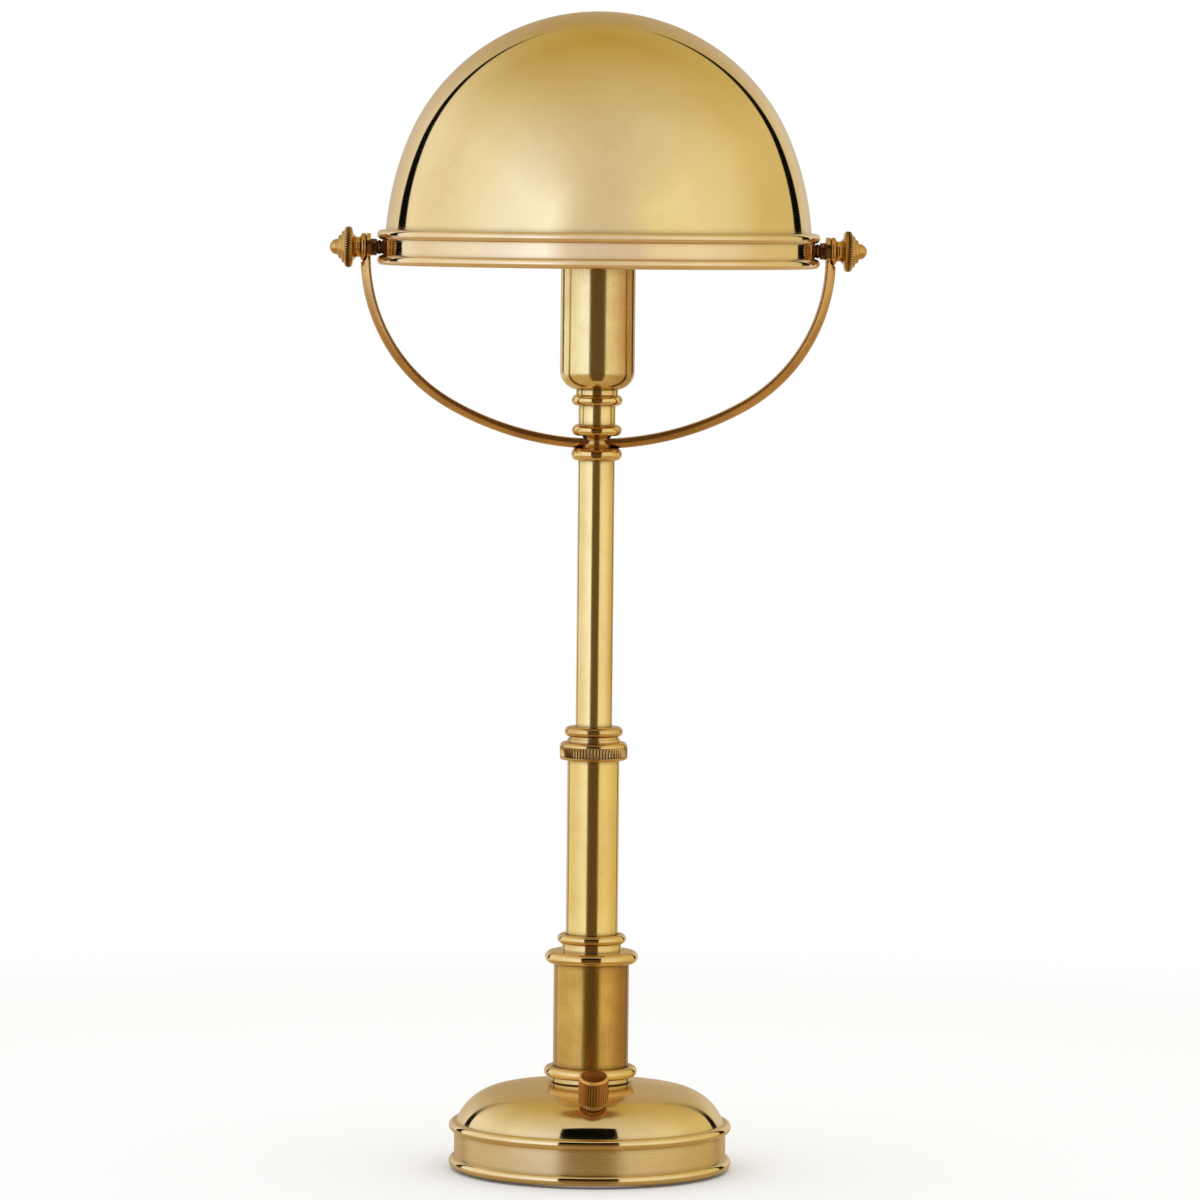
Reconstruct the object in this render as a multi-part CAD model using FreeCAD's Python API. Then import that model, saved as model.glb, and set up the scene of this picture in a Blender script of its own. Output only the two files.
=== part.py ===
import FreeCAD, Part
import math
import os

from FreeCAD import Vector

# Dome shade desk lamp, turned and spun brass on a weighted round foot.
# Millimetres, +Z up.  The origin is the centre of the foot pad's underside.
# The switch knob faces -Y, the shade tilts about an axis along X, and the thin
# stem slides in the middle tube and is held there by a knurled clamp nut.
# Sizes are driving values; every place is stacked up from them.

# ---------------------------------------------------------------- fits
running_gap = 0.05        # radial gap of a shaft or tube that turns or slides
round_gap = 0.1           # radial gap of a round joint that is screwed or soldered
face_gap = 0.05           # gap between flat faces that turn on each other
air_gap = 0.4             # room around a piece that only lies inside another

# ---------------------------------------------------------------- foot
pad_inset = 11.0          # from the shell's bore in to the pad's edge
pad_thickness = 2.2
plate_thickness = 1.5
shell_lift = 1.1          # table to the underside of the shell's lower bead
base_wall = 1.2
base_band_radius = 61.2
base_bead_radius = 2.4
base_band_height = 16.1   # from one bead's centre to the other's
base_dome_foot_inset = 0.9
base_shoulder_radius = 24.3
base_shoulder_start = 21.8  # degrees, the shoulder's normal above the horizontal
base_crown_lean = 9.3     # degrees, the normal's lean where shoulder meets crown
weight_ledge = 0.8        # depth of the step inside the shell that holds the weight

plate_screw_count = 3
plate_screw_inset = 8.0   # from the pad's edge in to the screws
plate_screw_radius = 2.0
plate_screw_length = 10.0
plate_screw_head_radius = 3.5
plate_screw_head_height = 1.6
screw_slot_width = 1.0
screw_slot_depth = 0.8

inlet_bore = 3.3
inlet_body_radius = 4.4
inlet_flange_radius = 5.4
inlet_flange_height = 2.0
inlet_length = 8.0        # inside the shell
inlet_nut_radius = 5.6
inlet_nut_height = 3.0
channel_width = 18.0      # cord channel in the weight
channel_floor = 2.0
channel_run = 14.0        # channel past the terminal block, towards the axis

terminal_width = 16.0
terminal_depth = 12.0
terminal_height = 9.0
terminal_gap = 3.25       # from the inlet bush's inner end to the terminal block
terminal_screw_radius = 2.0
terminal_screw_depth = 3.0
lead_radius = 1.0
lead_bend = 8.0
lead_rise = 3.5           # lead's centre above the weight where it crosses it
lead_spread = 9.0         # how far the leads pass on either side of the base rod
lead_spacing = 4.0        # at the terminal block, from the middle to each lead

rod_radius = 5.0
rod_bore = 3.2
rod_nut_flats = 14.0
rod_nut_height = 4.5
rod_washer_radius = 9.0
rod_washer_height = 1.2
rod_tail = 1.5            # rod showing past its nut
rod_recess_radius = 11.0
rod_recess_depth = 10.0

# ---------------------------------------------------------------- switch
switch_lean = 23.0        # degrees, the knob's axis leans this far to the front
switch_body_radius = 9.0
switch_body_length = 9.0
switch_bush_radius = 3.5
switch_shaft_radius = 2.0
switch_shaft_depth = 3.0  # shaft inside the switch body
switch_back_nut_radius = 5.5
switch_back_nut_height = 1.9
switch_ring_nut_radius = 5.0
switch_ring_nut_height = 1.9
switch_knob_radius = 6.65
switch_knob_length = 13.2
switch_knob_dish = 0.5
switch_knob_rim = 1.2     # from the flutes in to the edge of the dish
switch_knob_chamfer = 0.5
switch_knob_wall = 3.0    # metal above the end of the shaft
switch_knob_flutes = 30

# ---------------------------------------------------------------- column
foot_collar_neck_radius = 17.9
foot_collar_seat = 2.0    # width of the ring it stands on
foot_collar_rise = 4.85   # from its seat to its bead's centre
foot_bead_radius = 2.5
foot_bead_centre_radius = 18.5
foot_spigot = 5.0

thick_tube_radius = 16.95
thick_tube_length = 47.2
tube_wall = 1.0

big_bead_radius = 2.8
big_bead_centre_radius = 18.1
reducer_neck_radius = 13.4
reducer_bead_gap = 8.28   # from the big bead's centre to the small bead's
small_bead_radius = 2.15
small_bead_centre_radius = 13.35
reducer_spigot = 6.0
mid_tube_socket = 9.0     # depth of the middle tube in the reducer

mid_tube_radius = 11.7
mid_tube_length = 92.0

clamp_overlap = 3.7       # thread on the middle tube covered by the clamp nut
clamp_radius = 15.2
clamp_height = 8.1
clamp_shoulder = 2.0
clamp_flutes = 64
clamp_neck_radius = 11.05
clamp_neck_height = 2.35
gland_bead_radius = 2.25
gland_bead_centre_radius = 10.85
collet_depth = 13.0
collet_flange_height = 1.2
collet_cone_height = 4.4
collet_cone_step = 0.5    # cone's foot inside the sleeve's radius
collet_cone_top = 0.75    # wall of the collet at the top of its cone
collet_slit = 0.8
collet_slit_depth = 12.0
flute_depth = 0.45

# ---------------------------------------------------------------- stem and yoke
stem_radius = 8.18
stem_length = 186.0
stem_shown = 119.6        # from the gland bead to the yoke hub, as it stands
guide_bush_height = 8.0
guide_ring_height = 1.0
guide_ring_width = 1.4
guide_ring_groove = 0.4
guide_start = 1.0         # stem showing below the lower ring

lower_hub_bead_radius = 2.9
lower_hub_bead_centre_radius = 8.5
upper_hub_bead_radius = 2.5
upper_hub_bead_centre_radius = 8.7
hub_spigot = 8.0
nipple_radius = 4.0
nipple_bore = 2.6

yoke_boss_height = 5.35
yoke_boss_radius = 6.8
yoke_boss_waist = 5.5
yoke_strap_lift = 0.25    # strap above the boss's lower face
yoke_side_gap = 5.0       # from the shade ring's band to the yoke's flat side
yoke_side_radius = 75.0
yoke_side_sweep = 56.2    # degrees
yoke_thickness = 4.7      # half-round bar, as deep again on each side
yoke_eye_rise = 3.95      # from the end of the curve to the pivot
yoke_eye_radius = 6.2
yoke_eye_thickness = 1.7
yoke_relief_radius = 6.9

neck_tube_radius = 8.27
neck_tube_length = 8.6
neck_spigot = 3.0
cup_bead_radius = 2.45
cup_bead_centre_radius = 9.0
cup_collar_radius = 9.4
cup_collar_height = 4.7   # from its bead's centre to the cup
cup_radius = 16.7
cup_corner = 8.5
cup_height = 58.3
cup_wall = 0.8
cup_washer_radius = 7.5
cup_washer_height = 1.0
cup_nut_flats = 12.0
cup_nut_height = 4.0
nipple_tail = 3.0         # nipple past the cup nut, in the lampholder's cap
nipple_root = 7.0         # nipple in the lower hub collar

# ---------------------------------------------------------------- lampholder and bulb
holder_radius = 14.0
holder_wall = 2.0
holder_cap_height = 10.5
holder_floor = 6.0
holder_body_height = 36.4
screw_shell_bore = 7.2    # takes the bulb's cap with room for its thread
screw_shell_wall = 0.5
screw_shell_height = 22.0
contact_height = 4.0
contact_width = 5.0
contact_thickness = 0.5

bulb_cap_radius = 6.9
bulb_cap_height = 24.0
bulb_cap_wall = 0.6
bulb_cap_chamfer = 2.5
bulb_seat_depth = 4.0     # glass and mount stand this deep in the cap
bulb_tip_radius = 2.5
bulb_globe_radius = 22.5
bulb_neck_length = 7.0    # from the cap to where the globe's flare begins
bulb_neck_radius = 8.2
bulb_neck_straight = 3.0  # narrow part of the neck above the cap
bulb_flare_hollow = 0.9   # how far the neck's curve into the globe is drawn in
bulb_globe_start = 50     # degrees below the globe's equator where its curve begins
bulb_wall = 0.7
bulb_stem_radius = 3.0
bulb_stem_height = 16.0
bulb_stem_foot_flare = 1.5
bulb_stem_head_height = 1.0
filament_count = 4
filament_radius = 0.8
filament_length = 22.0
filament_spread_radius = 6.0

# ---------------------------------------------------------------- shade
ring_radius = 96.9
ring_bore_wall = 1.2
ring_bead_radius = 2.2
ring_bead_gap = 11.3      # from one bead's centre to the other's
ring_lip_height = 0.8
ring_lip_width = 1.8

dome_wall = 0.85
dome_skirt = 4.8          # straight part that stands in the ring
dome_flank_radius = 134.1
dome_flank_sweep = 22.27  # degrees

stud_thread_radius = 2.5
stud_foot_radius = 3.2
stud_foot_length = 2.25
stud_shoulder_radius = 3.75
stud_inner_length = 6.3   # thread from the ring's face inwards
stud_outer_length = 12.0  # thread from the shoulder outwards
friction_washer_height = 0.7
inner_washer_radius = 4.5
inner_washer_height = 0.8
inner_nut_flats = 8.0
inner_nut_height = 2.2

knob_flange_radius = 6.3
knob_flange_bead = 1.4
knob_waist_radius = 4.4
knob_disc_start = 6.6
knob_disc_end = 9.9
knob_disc_radius = 9.1
knob_disc_edge = 0.9
knob_step_radius = 7.4
knob_cone_radius = 5.3
knob_step_length = 1.7
knob_cone_length = 1.5
knob_tip_radius = 3.5
knob_strip_flutes = 40
knob_strip_share = 0.6    # of the disc's thickness that is knurled
knob_waist_place = 0.3    # of the way from the flange to the disc
knob_bore_past_stud = 0.5

# ---------------------------------------------------------------- helpers
ORIGIN = Vector(0, 0, 0)
UP = Vector(0, 0, 1)
ALONG_X = Vector(1, 0, 0)
ALONG_Y = Vector(0, 1, 0)
shapes = {}


def rise(radius, offset):
    """Height of a circle's edge above its centre at a sideways offset."""
    return math.sqrt(radius ** 2 - offset ** 2)


def polar(centre, radius, degrees):
    """Point (r, z) on a circle, the angle counted up from the horizontal."""
    angle = math.radians(degrees)
    return (centre[0] + radius * math.cos(angle), centre[1] + radius * math.sin(angle))


def arc(through, end):
    """Step of an outline that curves through one point to another."""
    return ("arc", through, end)


def round_arc(centre, radius, start, end):
    """Step that follows a circle from one angle to another."""
    return arc(polar(centre, radius, (start + end) / 2), polar(centre, radius, end))


def outline(start, steps, place):
    """Closed face from points and arcs; place turns (a, b) into a 3-D point."""
    edges = []
    here = place(*start)
    for step in list(steps) + [start]:
        if step[0] == "arc":
            end = place(*step[2])
            edges.append(Part.Arc(here, place(*step[1]), end).toShape())
        else:
            end = place(*step)
            if here.distanceToPoint(end) > 1e-6:
                edges.append(Part.makeLine(here, end))
        here = end
    return Part.Face(Part.Wire(edges))


def turned(start, *steps):
    """Solid of revolution about Z from an outline in (r, z)."""
    face = outline(start, steps, lambda r, z: Vector(r, 0, z))
    return face.revolve(ORIGIN, UP, 360)


def bead(circle, height, radius, low_at, high_at):
    """Start point and arc of a bead, met at two radii below and above."""
    start = (low_at, height - rise(radius, circle - low_at))
    end = (high_at, height + rise(radius, circle - high_at))
    return start, arc((circle + radius, height), end)


def rod(radius, bottom, top, x=0.0, y=0.0):
    """Upright cylinder between two heights."""
    return Part.makeCylinder(radius, top - bottom, Vector(x, y, bottom), UP)


def tube(outer, bore, bottom, top):
    """Upright tube between two heights."""
    return rod(outer, bottom, top).cut(rod(bore, bottom, top))


def block(low, high):
    """Box between two corners."""
    size = high - low
    return Part.makeBox(size.x, size.y, size.z, low)


def hexagon(flats, bottom, top):
    """Upright hexagonal prism."""
    corner = flats / 2 / math.cos(math.radians(30))
    points = [Vector(*polar((0, 0), corner, 60 * i), bottom) for i in range(7)]
    face = Part.Face(Part.makePolygon(points))
    return face.extrude(UP * (top - bottom))


def fluted(radius, depth, count, bottom, top):
    """Upright star prism, a straight knurl's section, to trim a turned grip to."""
    points = []
    for i in range(2 * count + 1):
        reach = radius + depth * 0.3 if i % 2 == 0 else radius - depth
        points.append(Vector(*polar((0, 0), reach, 180 * i / count), bottom))
    face = Part.Face(Part.makePolygon(points))
    return face.extrude(UP * (top - bottom))


def knurl(piece, radius, depth, count, bottom, top):
    """Cut a straight knurl into the stretch of a turned piece between two heights."""
    room = radius + depth
    ring = rod(room, bottom, top).cut(fluted(radius, depth, count, bottom, top))
    return piece.cut(ring)


def laid_along_x(shape, side):
    """Turn a piece made along +Z so that it points along +X or -X."""
    shape = shape.copy()
    shape.rotate(ORIGIN, ALONG_Y, 90 * side)
    return shape


def bent_wire(points, radius, bend):
    """Round wire along straight runs joined by tangent arcs."""
    points = [Vector(*p) for p in points]
    edges = []
    here = points[0]
    for before, corner, after in zip(points, points[1:], points[2:]):
        inward = (before - corner).normalize()
        outward = (after - corner).normalize()
        half = inward.getAngle(outward) / 2
        reach = min(bend / math.tan(half), 0.45 * min(before.distanceToPoint(corner),
                                                      after.distanceToPoint(corner)))
        middle = (inward + outward).normalize()
        to_centre = reach / math.cos(half)
        sag = to_centre - reach * math.tan(half)
        start = corner + inward * reach
        end = corner + outward * reach
        edges.append(Part.makeLine(here, start))
        edges.append(Part.Arc(start, corner + middle * sag, end).toShape())
        here = end
    edges.append(Part.makeLine(here, points[-1]))
    path = Part.Wire(edges)
    heading = (points[1] - points[0]).normalize()
    section = Part.Wire([Part.Circle(points[0], heading, radius).toShape()])
    return path.makePipeShell([section], True, False)


def keep(name, shape):
    """File a finished piece under its node name."""
    shapes[name] = shape


# ---------------------------------------------------------------- foot: heights and curves
plate_bottom = pad_thickness
plate_top = plate_bottom + plate_thickness
lower_bead_z = shell_lift + base_bead_radius
upper_bead_z = lower_bead_z + base_band_height
base_bore = base_band_radius - base_wall
pad_radius = base_bore - pad_inset
inlet_face = base_band_radius + face_gap
terminal_start = inlet_face - inlet_length - terminal_gap - terminal_depth
channel_end = terminal_start - channel_run

dome_foot_r = base_band_radius - base_dome_foot_inset
dome_foot_z = upper_bead_z + rise(base_bead_radius, base_dome_foot_inset)
lean = math.radians(base_shoulder_start)
shoulder_centre = (dome_foot_r - base_shoulder_radius * math.cos(lean),
                   dome_foot_z - base_shoulder_radius * math.sin(lean))
shoulder_end = 90 - base_crown_lean
crown_start_r = polar(shoulder_centre, base_shoulder_radius, shoulder_end)[0]
crown_radius = crown_start_r / math.sin(math.radians(base_crown_lean))
crown_centre_z = (shoulder_centre[1]
                  - shoulder_centre[0] / math.tan(math.radians(base_crown_lean)))
collar_seat_r = foot_collar_neck_radius - foot_collar_seat
collar_seat_z = crown_centre_z + rise(crown_radius, collar_seat_r)


def base_skin(inset, start_angle, hole):
    """Steps of the foot's domed surface, from its shoulder up to a central hole."""
    shoulder = base_shoulder_radius - inset
    crown = crown_radius - inset
    hole_angle = math.degrees(math.acos(hole / crown))
    return [round_arc(shoulder_centre, shoulder, start_angle, shoulder_end),
            round_arc((0, crown_centre_z), crown, shoulder_end, hole_angle)]


def reverse_skin(inset, end_angle, hole):
    """The same surface from the central hole back down to the shoulder's foot."""
    shoulder = base_shoulder_radius - inset
    crown = crown_radius - inset
    hole_angle = math.degrees(math.acos(hole / crown))
    return [polar((0, crown_centre_z), crown, hole_angle),
            round_arc((0, crown_centre_z), crown, hole_angle, shoulder_end),
            round_arc(shoulder_centre, shoulder, shoulder_end, end_angle)]


inner_foot = polar(shoulder_centre, base_shoulder_radius - base_wall, base_shoulder_start)
ledge_z = inner_foot[1] - weight_ledge
rod_hole = rod_radius + round_gap

# The switch stands on the shoulder, square to its surface.
switch_seat = polar(shoulder_centre, base_shoulder_radius, 90 - switch_lean)


def on_switch_axis(shape):
    """Move a piece made upright at the origin onto the leaning switch axis."""
    shape = shape.copy()
    shape.rotate(ORIGIN, ALONG_X, switch_lean)
    shape.translate(Vector(0, -switch_seat[0], switch_seat[1]))
    return shape


back_sag = base_shoulder_radius - rise(base_shoulder_radius, switch_back_nut_radius)
back_nut_top = -(base_wall + back_sag)
switch_top = back_nut_top - switch_back_nut_height
switch_bottom = switch_top - switch_body_length


def inlet_piece(radius, start, end):
    """Cylinder along Y at the cord inlet's height, between two distances."""
    middle = Vector(0, start, (lower_bead_z + upper_bead_z) / 2)
    return Part.makeCylinder(radius, end - start, middle, ALONG_Y)


# ---------------------------------------------------------------- foot: pieces
def screw_places():
    """Centres of the plate screws, one of them at the front."""
    for i in range(plate_screw_count):
        yield polar((0, 0), pad_radius - plate_screw_inset, 270 + 360 * i / plate_screw_count)


pad = rod(pad_radius, 0, pad_thickness)
plate = rod(base_bore - air_gap, plate_bottom, plate_top).cut(
    rod(rod_recess_radius, plate_bottom, plate_top))
weight = rod(base_bore - air_gap, plate_top, ledge_z)
weight = weight.cut(rod(rod_hole, plate_top, ledge_z))
weight = weight.cut(rod(rod_recess_radius, plate_top, plate_top + rod_recess_depth))
screws = []
for x, y in screw_places():
    head_bottom = plate_bottom - plate_screw_head_height
    shank = rod(plate_screw_radius, plate_bottom, plate_bottom + plate_screw_length, x, y)
    head = rod(plate_screw_head_radius, head_bottom, plate_bottom, x, y)
    slot = block(
        Vector(x - plate_screw_head_radius, y - screw_slot_width / 2, head_bottom),
        Vector(x + plate_screw_head_radius, y + screw_slot_width / 2,
               head_bottom + screw_slot_depth))
    screws.append(head.cut(slot).fuse(shank).removeSplitter())
    pad = pad.cut(rod(plate_screw_head_radius + air_gap, 0, pad_thickness, x, y))
    hole = rod(plate_screw_radius + round_gap, plate_bottom,
               plate_bottom + plate_screw_length + air_gap, x, y)
    plate = plate.cut(hole)
    weight = weight.cut(hole)
channel_bottom = plate_top + channel_floor
channel = block(Vector(-channel_width / 2, channel_end, channel_bottom),
                Vector(channel_width / 2, base_band_radius, ledge_z))
weight = weight.cut(channel)
pocket = rod(switch_body_radius + air_gap, switch_bottom - air_gap, 0)
weight = weight.cut(on_switch_axis(pocket))
keep("foot_pad", pad)
keep("bottom_plate", plate)
keep("plate_screws", Part.makeCompound(screws))
keep("base_weight", weight)

lower_start, lower_bead = bead(base_band_radius, lower_bead_z, base_bead_radius,
                               base_band_radius, base_band_radius)
upper_start, upper_bead = bead(base_band_radius, upper_bead_z, base_bead_radius,
                               base_band_radius, dome_foot_r)
shell = turned(
    (base_bore, lower_start[1]), lower_start, lower_bead, upper_start, upper_bead,
    *base_skin(0, base_shoulder_start, rod_hole),
    *reverse_skin(base_wall, base_shoulder_start, rod_hole),
    (inner_foot[0], ledge_z), (base_bore, ledge_z))
shell = shell.cut(inlet_piece(inlet_body_radius + round_gap, channel_end, base_band_radius * 2))
switch_hole = rod(switch_bush_radius + round_gap, -base_shoulder_radius / 2, base_wall)
shell = shell.cut(on_switch_axis(switch_hole))
keep("base_shell", shell)

inlet = inlet_piece(inlet_body_radius, inlet_face - inlet_length, inlet_face)
inlet = inlet.fuse(inlet_piece(inlet_flange_radius, inlet_face,
                               inlet_face + inlet_flange_height)).removeSplitter()
inlet = inlet.cut(inlet_piece(inlet_bore, 0, base_band_radius * 2))
keep("cord_inlet_bush", inlet)
nut_face = rise(base_bore, inlet_nut_radius)
inlet_nut = inlet_piece(inlet_nut_radius, nut_face - inlet_nut_height, nut_face)
inlet_nut = inlet_nut.cut(inlet_piece(inlet_body_radius + round_gap, 0, base_band_radius))
keep("cord_inlet_nut", inlet_nut)

terminal_low = Vector(-terminal_width / 2, terminal_start, channel_bottom)
terminal_high = Vector(terminal_width / 2, terminal_start + terminal_depth,
                       channel_bottom + terminal_height)
terminal = block(terminal_low, terminal_high)
for side in (-1, 1):
    well = rod(terminal_screw_radius, terminal_high.z - terminal_screw_depth,
               terminal_high.z, side * lead_spacing, terminal_start + terminal_depth / 2)
    terminal = terminal.cut(well)
keep("terminal_block", terminal)

washer_top = plate_top + rod_recess_depth
rod_nut_top = washer_top - rod_washer_height
rod_nut_bottom = rod_nut_top - rod_nut_height
keep("rod_washer", tube(rod_washer_radius, rod_hole, rod_nut_top, washer_top))
keep("rod_nut", hexagon(rod_nut_flats, rod_nut_bottom, rod_nut_top).cut(
    rod(rod_hole, rod_nut_bottom, rod_nut_top)))

# ---------------------------------------------------------------- switch: pieces
bush_bore = switch_shaft_radius + running_gap
knob_bottom = switch_ring_nut_height + 4 * face_gap
knob_top = knob_bottom + switch_knob_length
shaft_bottom = switch_top - switch_shaft_depth
shaft_top = knob_top - switch_knob_dish - switch_knob_wall
switch_body = rod(switch_body_radius, switch_bottom, switch_top).fuse(
    rod(switch_bush_radius, switch_top, switch_ring_nut_height)).removeSplitter()
switch_body = switch_body.cut(rod(bush_bore, shaft_bottom - face_gap, switch_ring_nut_height))
keep("switch_body", on_switch_axis(switch_body))
keep("switch_back_nut", on_switch_axis(
    tube(switch_back_nut_radius, switch_bush_radius + round_gap, switch_top, back_nut_top)))
ring_nut = tube(switch_ring_nut_radius, switch_bush_radius + round_gap, 0, switch_ring_nut_height)
ring_nut = knurl(ring_nut, switch_ring_nut_radius, flute_depth, switch_knob_flutes,
                 0, switch_ring_nut_height)
keep("switch_ring_nut", on_switch_axis(ring_nut))
keep("switch_shaft", on_switch_axis(rod(switch_shaft_radius, shaft_bottom, shaft_top)))
dish_edge = switch_knob_radius - switch_knob_rim
dish_radius = (dish_edge ** 2 + switch_knob_dish ** 2) / (2 * switch_knob_dish)
dish_centre = (0, knob_top - switch_knob_dish + dish_radius)
dish_start = -math.degrees(math.acos(dish_edge / dish_radius))
knob = turned(
    (0, knob_bottom), (switch_knob_radius - switch_knob_chamfer, knob_bottom),
    (switch_knob_radius, knob_bottom + switch_knob_chamfer),
    (switch_knob_radius, knob_top - switch_knob_rim / 2),
    (dish_edge, knob_top), round_arc(dish_centre, dish_radius, dish_start, -90))
knob = knurl(knob, switch_knob_radius, flute_depth, switch_knob_flutes,
             knob_bottom, knob_top - switch_knob_rim)
knob = knob.cut(rod(switch_shaft_radius + round_gap, knob_bottom, shaft_top + face_gap))
keep("switch_knob", on_switch_axis(knob))

# Two leads run over the weight from the terminal block to the switch.
terminal_entry = channel_bottom + terminal_height * 2 / 3
lead_top = ledge_z + lead_rise
lead_goal = on_switch_axis(
    Part.Vertex(Vector(0, switch_body_radius + lead_radius, switch_bottom + 2 * lead_radius))).Point
leads = []
for side in (-1, 1):
    leads.append(bent_wire([
        (side * lead_spacing, terminal_start - lead_radius / 2, terminal_entry),
        (side * lead_spacing, channel_end + lead_bend, terminal_entry),
        (side * lead_spacing * 3 / 2, channel_end + lead_bend / 2, lead_top),
        (side * lead_spread, 0, lead_top + lead_radius),
        (side * lead_spacing * 3 / 2, lead_goal.y + lead_bend, lead_top + lead_radius),
        (side * lead_spacing * 3 / 4, lead_goal.y, lead_goal.z)], lead_radius, lead_bend))
keep("base_leads", Part.makeCompound(leads))

# ---------------------------------------------------------------- column: heights
foot_bead_z = collar_seat_z + foot_collar_rise
thick_bottom = foot_bead_z + rise(foot_bead_radius, foot_bead_centre_radius - thick_tube_radius)
thick_top = thick_bottom + thick_tube_length
thick_bore = thick_tube_radius - tube_wall
big_bead_z = thick_top + rise(big_bead_radius, big_bead_centre_radius - thick_tube_radius)
small_bead_z = big_bead_z + reducer_bead_gap
mid_bore = mid_tube_radius - tube_wall
mid_socket = mid_tube_radius + round_gap
reducer_top = small_bead_z + rise(small_bead_radius, small_bead_centre_radius - mid_socket)
mid_bottom = reducer_top - mid_tube_socket
mid_top = mid_bottom + mid_tube_length
clamp_bottom = mid_top - clamp_overlap
clamp_top = clamp_bottom + clamp_height
gland_bead_z = (clamp_top + clamp_neck_height
                + rise(gland_bead_radius, gland_bead_centre_radius - clamp_neck_radius))
gland_top = gland_bead_z + gland_bead_radius

# ---------------------------------------------------------------- column: pieces
spigot_r = thick_bore - round_gap
spigot_top = thick_bottom + foot_spigot
rod_top = spigot_top - rod_tail
keep("base_rod", tube(rod_radius, rod_bore, rod_nut_bottom - rod_tail, rod_top))

bead_start, bead_arc = bead(foot_bead_centre_radius, foot_bead_z, foot_bead_radius,
                            foot_collar_neck_radius, thick_tube_radius)
undercut_z = crown_centre_z + crown_radius + air_gap
keep("foot_collar", turned(
    (rod_hole, undercut_z), (collar_seat_r, undercut_z), (collar_seat_r, collar_seat_z),
    (foot_collar_neck_radius, collar_seat_z), bead_start, bead_arc,
    (spigot_r, thick_bottom), (spigot_r, spigot_top), (rod_hole, spigot_top)))
keep("thick_tube", tube(thick_tube_radius, thick_bore, thick_bottom, thick_top))

big_start, big_arc = bead(big_bead_centre_radius, big_bead_z, big_bead_radius,
                          thick_tube_radius, big_bead_centre_radius)
small_start, small_arc = bead(small_bead_centre_radius, small_bead_z, small_bead_radius,
                              reducer_neck_radius, mid_socket)
stem_way = mid_bore + round_gap
keep("reducer_collar", turned(
    (stem_way, thick_top - reducer_spigot), (spigot_r, thick_top - reducer_spigot),
    (spigot_r, thick_top), big_start, big_arc,
    (reducer_neck_radius, big_bead_z + big_bead_radius), small_start, small_arc,
    (mid_socket, mid_bottom), (stem_way, mid_bottom)))
keep("mid_tube", tube(mid_tube_radius, mid_bore, mid_bottom, mid_top))

stem_bush_bore = stem_radius + running_gap
collet_sleeve = mid_bore - round_gap
collet_flange_top = mid_top + collet_flange_height
collet_top = collet_flange_top + collet_cone_height
cone_foot = collet_sleeve - collet_cone_step
collet = turned(
    (stem_bush_bore, mid_top - collet_depth), (collet_sleeve, mid_top - collet_depth),
    (collet_sleeve, mid_top), (mid_tube_radius - round_gap, mid_top),
    (mid_tube_radius - round_gap, collet_flange_top), (cone_foot, collet_flange_top),
    (stem_bush_bore + collet_cone_top, collet_top), (stem_bush_bore, collet_top))
for turn in (0, 90):
    slit = block(Vector(-mid_socket, -collet_slit / 2, collet_top - collet_slit_depth),
                 Vector(mid_socket, collet_slit / 2, collet_top))
    slit.rotate(ORIGIN, UP, turn)
    collet = collet.cut(slit)
keep("collet", collet)

nut_play = 3 * face_gap
nose_bore = stem_radius + 3 * running_gap
gland_start, gland_arc = bead(gland_bead_centre_radius, gland_bead_z, gland_bead_radius,
                              clamp_neck_radius, gland_bead_centre_radius)
clamp = turned(
    (mid_socket, clamp_bottom), (clamp_radius - flute_depth, clamp_bottom),
    (clamp_radius, clamp_bottom + flute_depth), (clamp_radius, clamp_top - clamp_shoulder),
    round_arc((clamp_radius - clamp_shoulder, clamp_top - clamp_shoulder),
              clamp_shoulder, 0, 90),
    (clamp_neck_radius, clamp_top), gland_start, gland_arc, (nose_bore, gland_top),
    (nose_bore, collet_top + nut_play),
    (stem_bush_bore + collet_cone_top + nut_play, collet_top + nut_play),
    (cone_foot + nut_play, collet_flange_top + nut_play),
    (mid_socket, collet_flange_top + nut_play))
clamp = knurl(clamp, clamp_radius, flute_depth, clamp_flutes,
              clamp_bottom, clamp_top - clamp_shoulder)
keep("clamp_nut", clamp)

# ---------------------------------------------------------------- stem and yoke: heights
stem_top = gland_top + stem_shown
stem_bottom = stem_top - stem_length
stem_bore = stem_radius - tube_wall
lower_ring_z = stem_bottom + guide_start
bush_bottom = lower_ring_z + guide_ring_height + 2 * face_gap
bush_top = bush_bottom + guide_bush_height
upper_ring_z = bush_top + 2 * face_gap
lower_hub_z = stem_top + rise(lower_hub_bead_radius, lower_hub_bead_centre_radius - stem_radius)
boss_bottom = lower_hub_z + lower_hub_bead_radius
boss_top = boss_bottom + yoke_boss_height
upper_hub_z = boss_top + upper_hub_bead_radius
neck_bottom = upper_hub_z + rise(upper_hub_bead_radius,
                                 upper_hub_bead_centre_radius - neck_tube_radius)
neck_top = neck_bottom + neck_tube_length
cup_bead_z = neck_top + rise(cup_bead_radius, cup_bead_centre_radius - neck_tube_radius)
cup_bottom = cup_bead_z + cup_collar_height
cup_top = cup_bottom + cup_height

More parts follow.
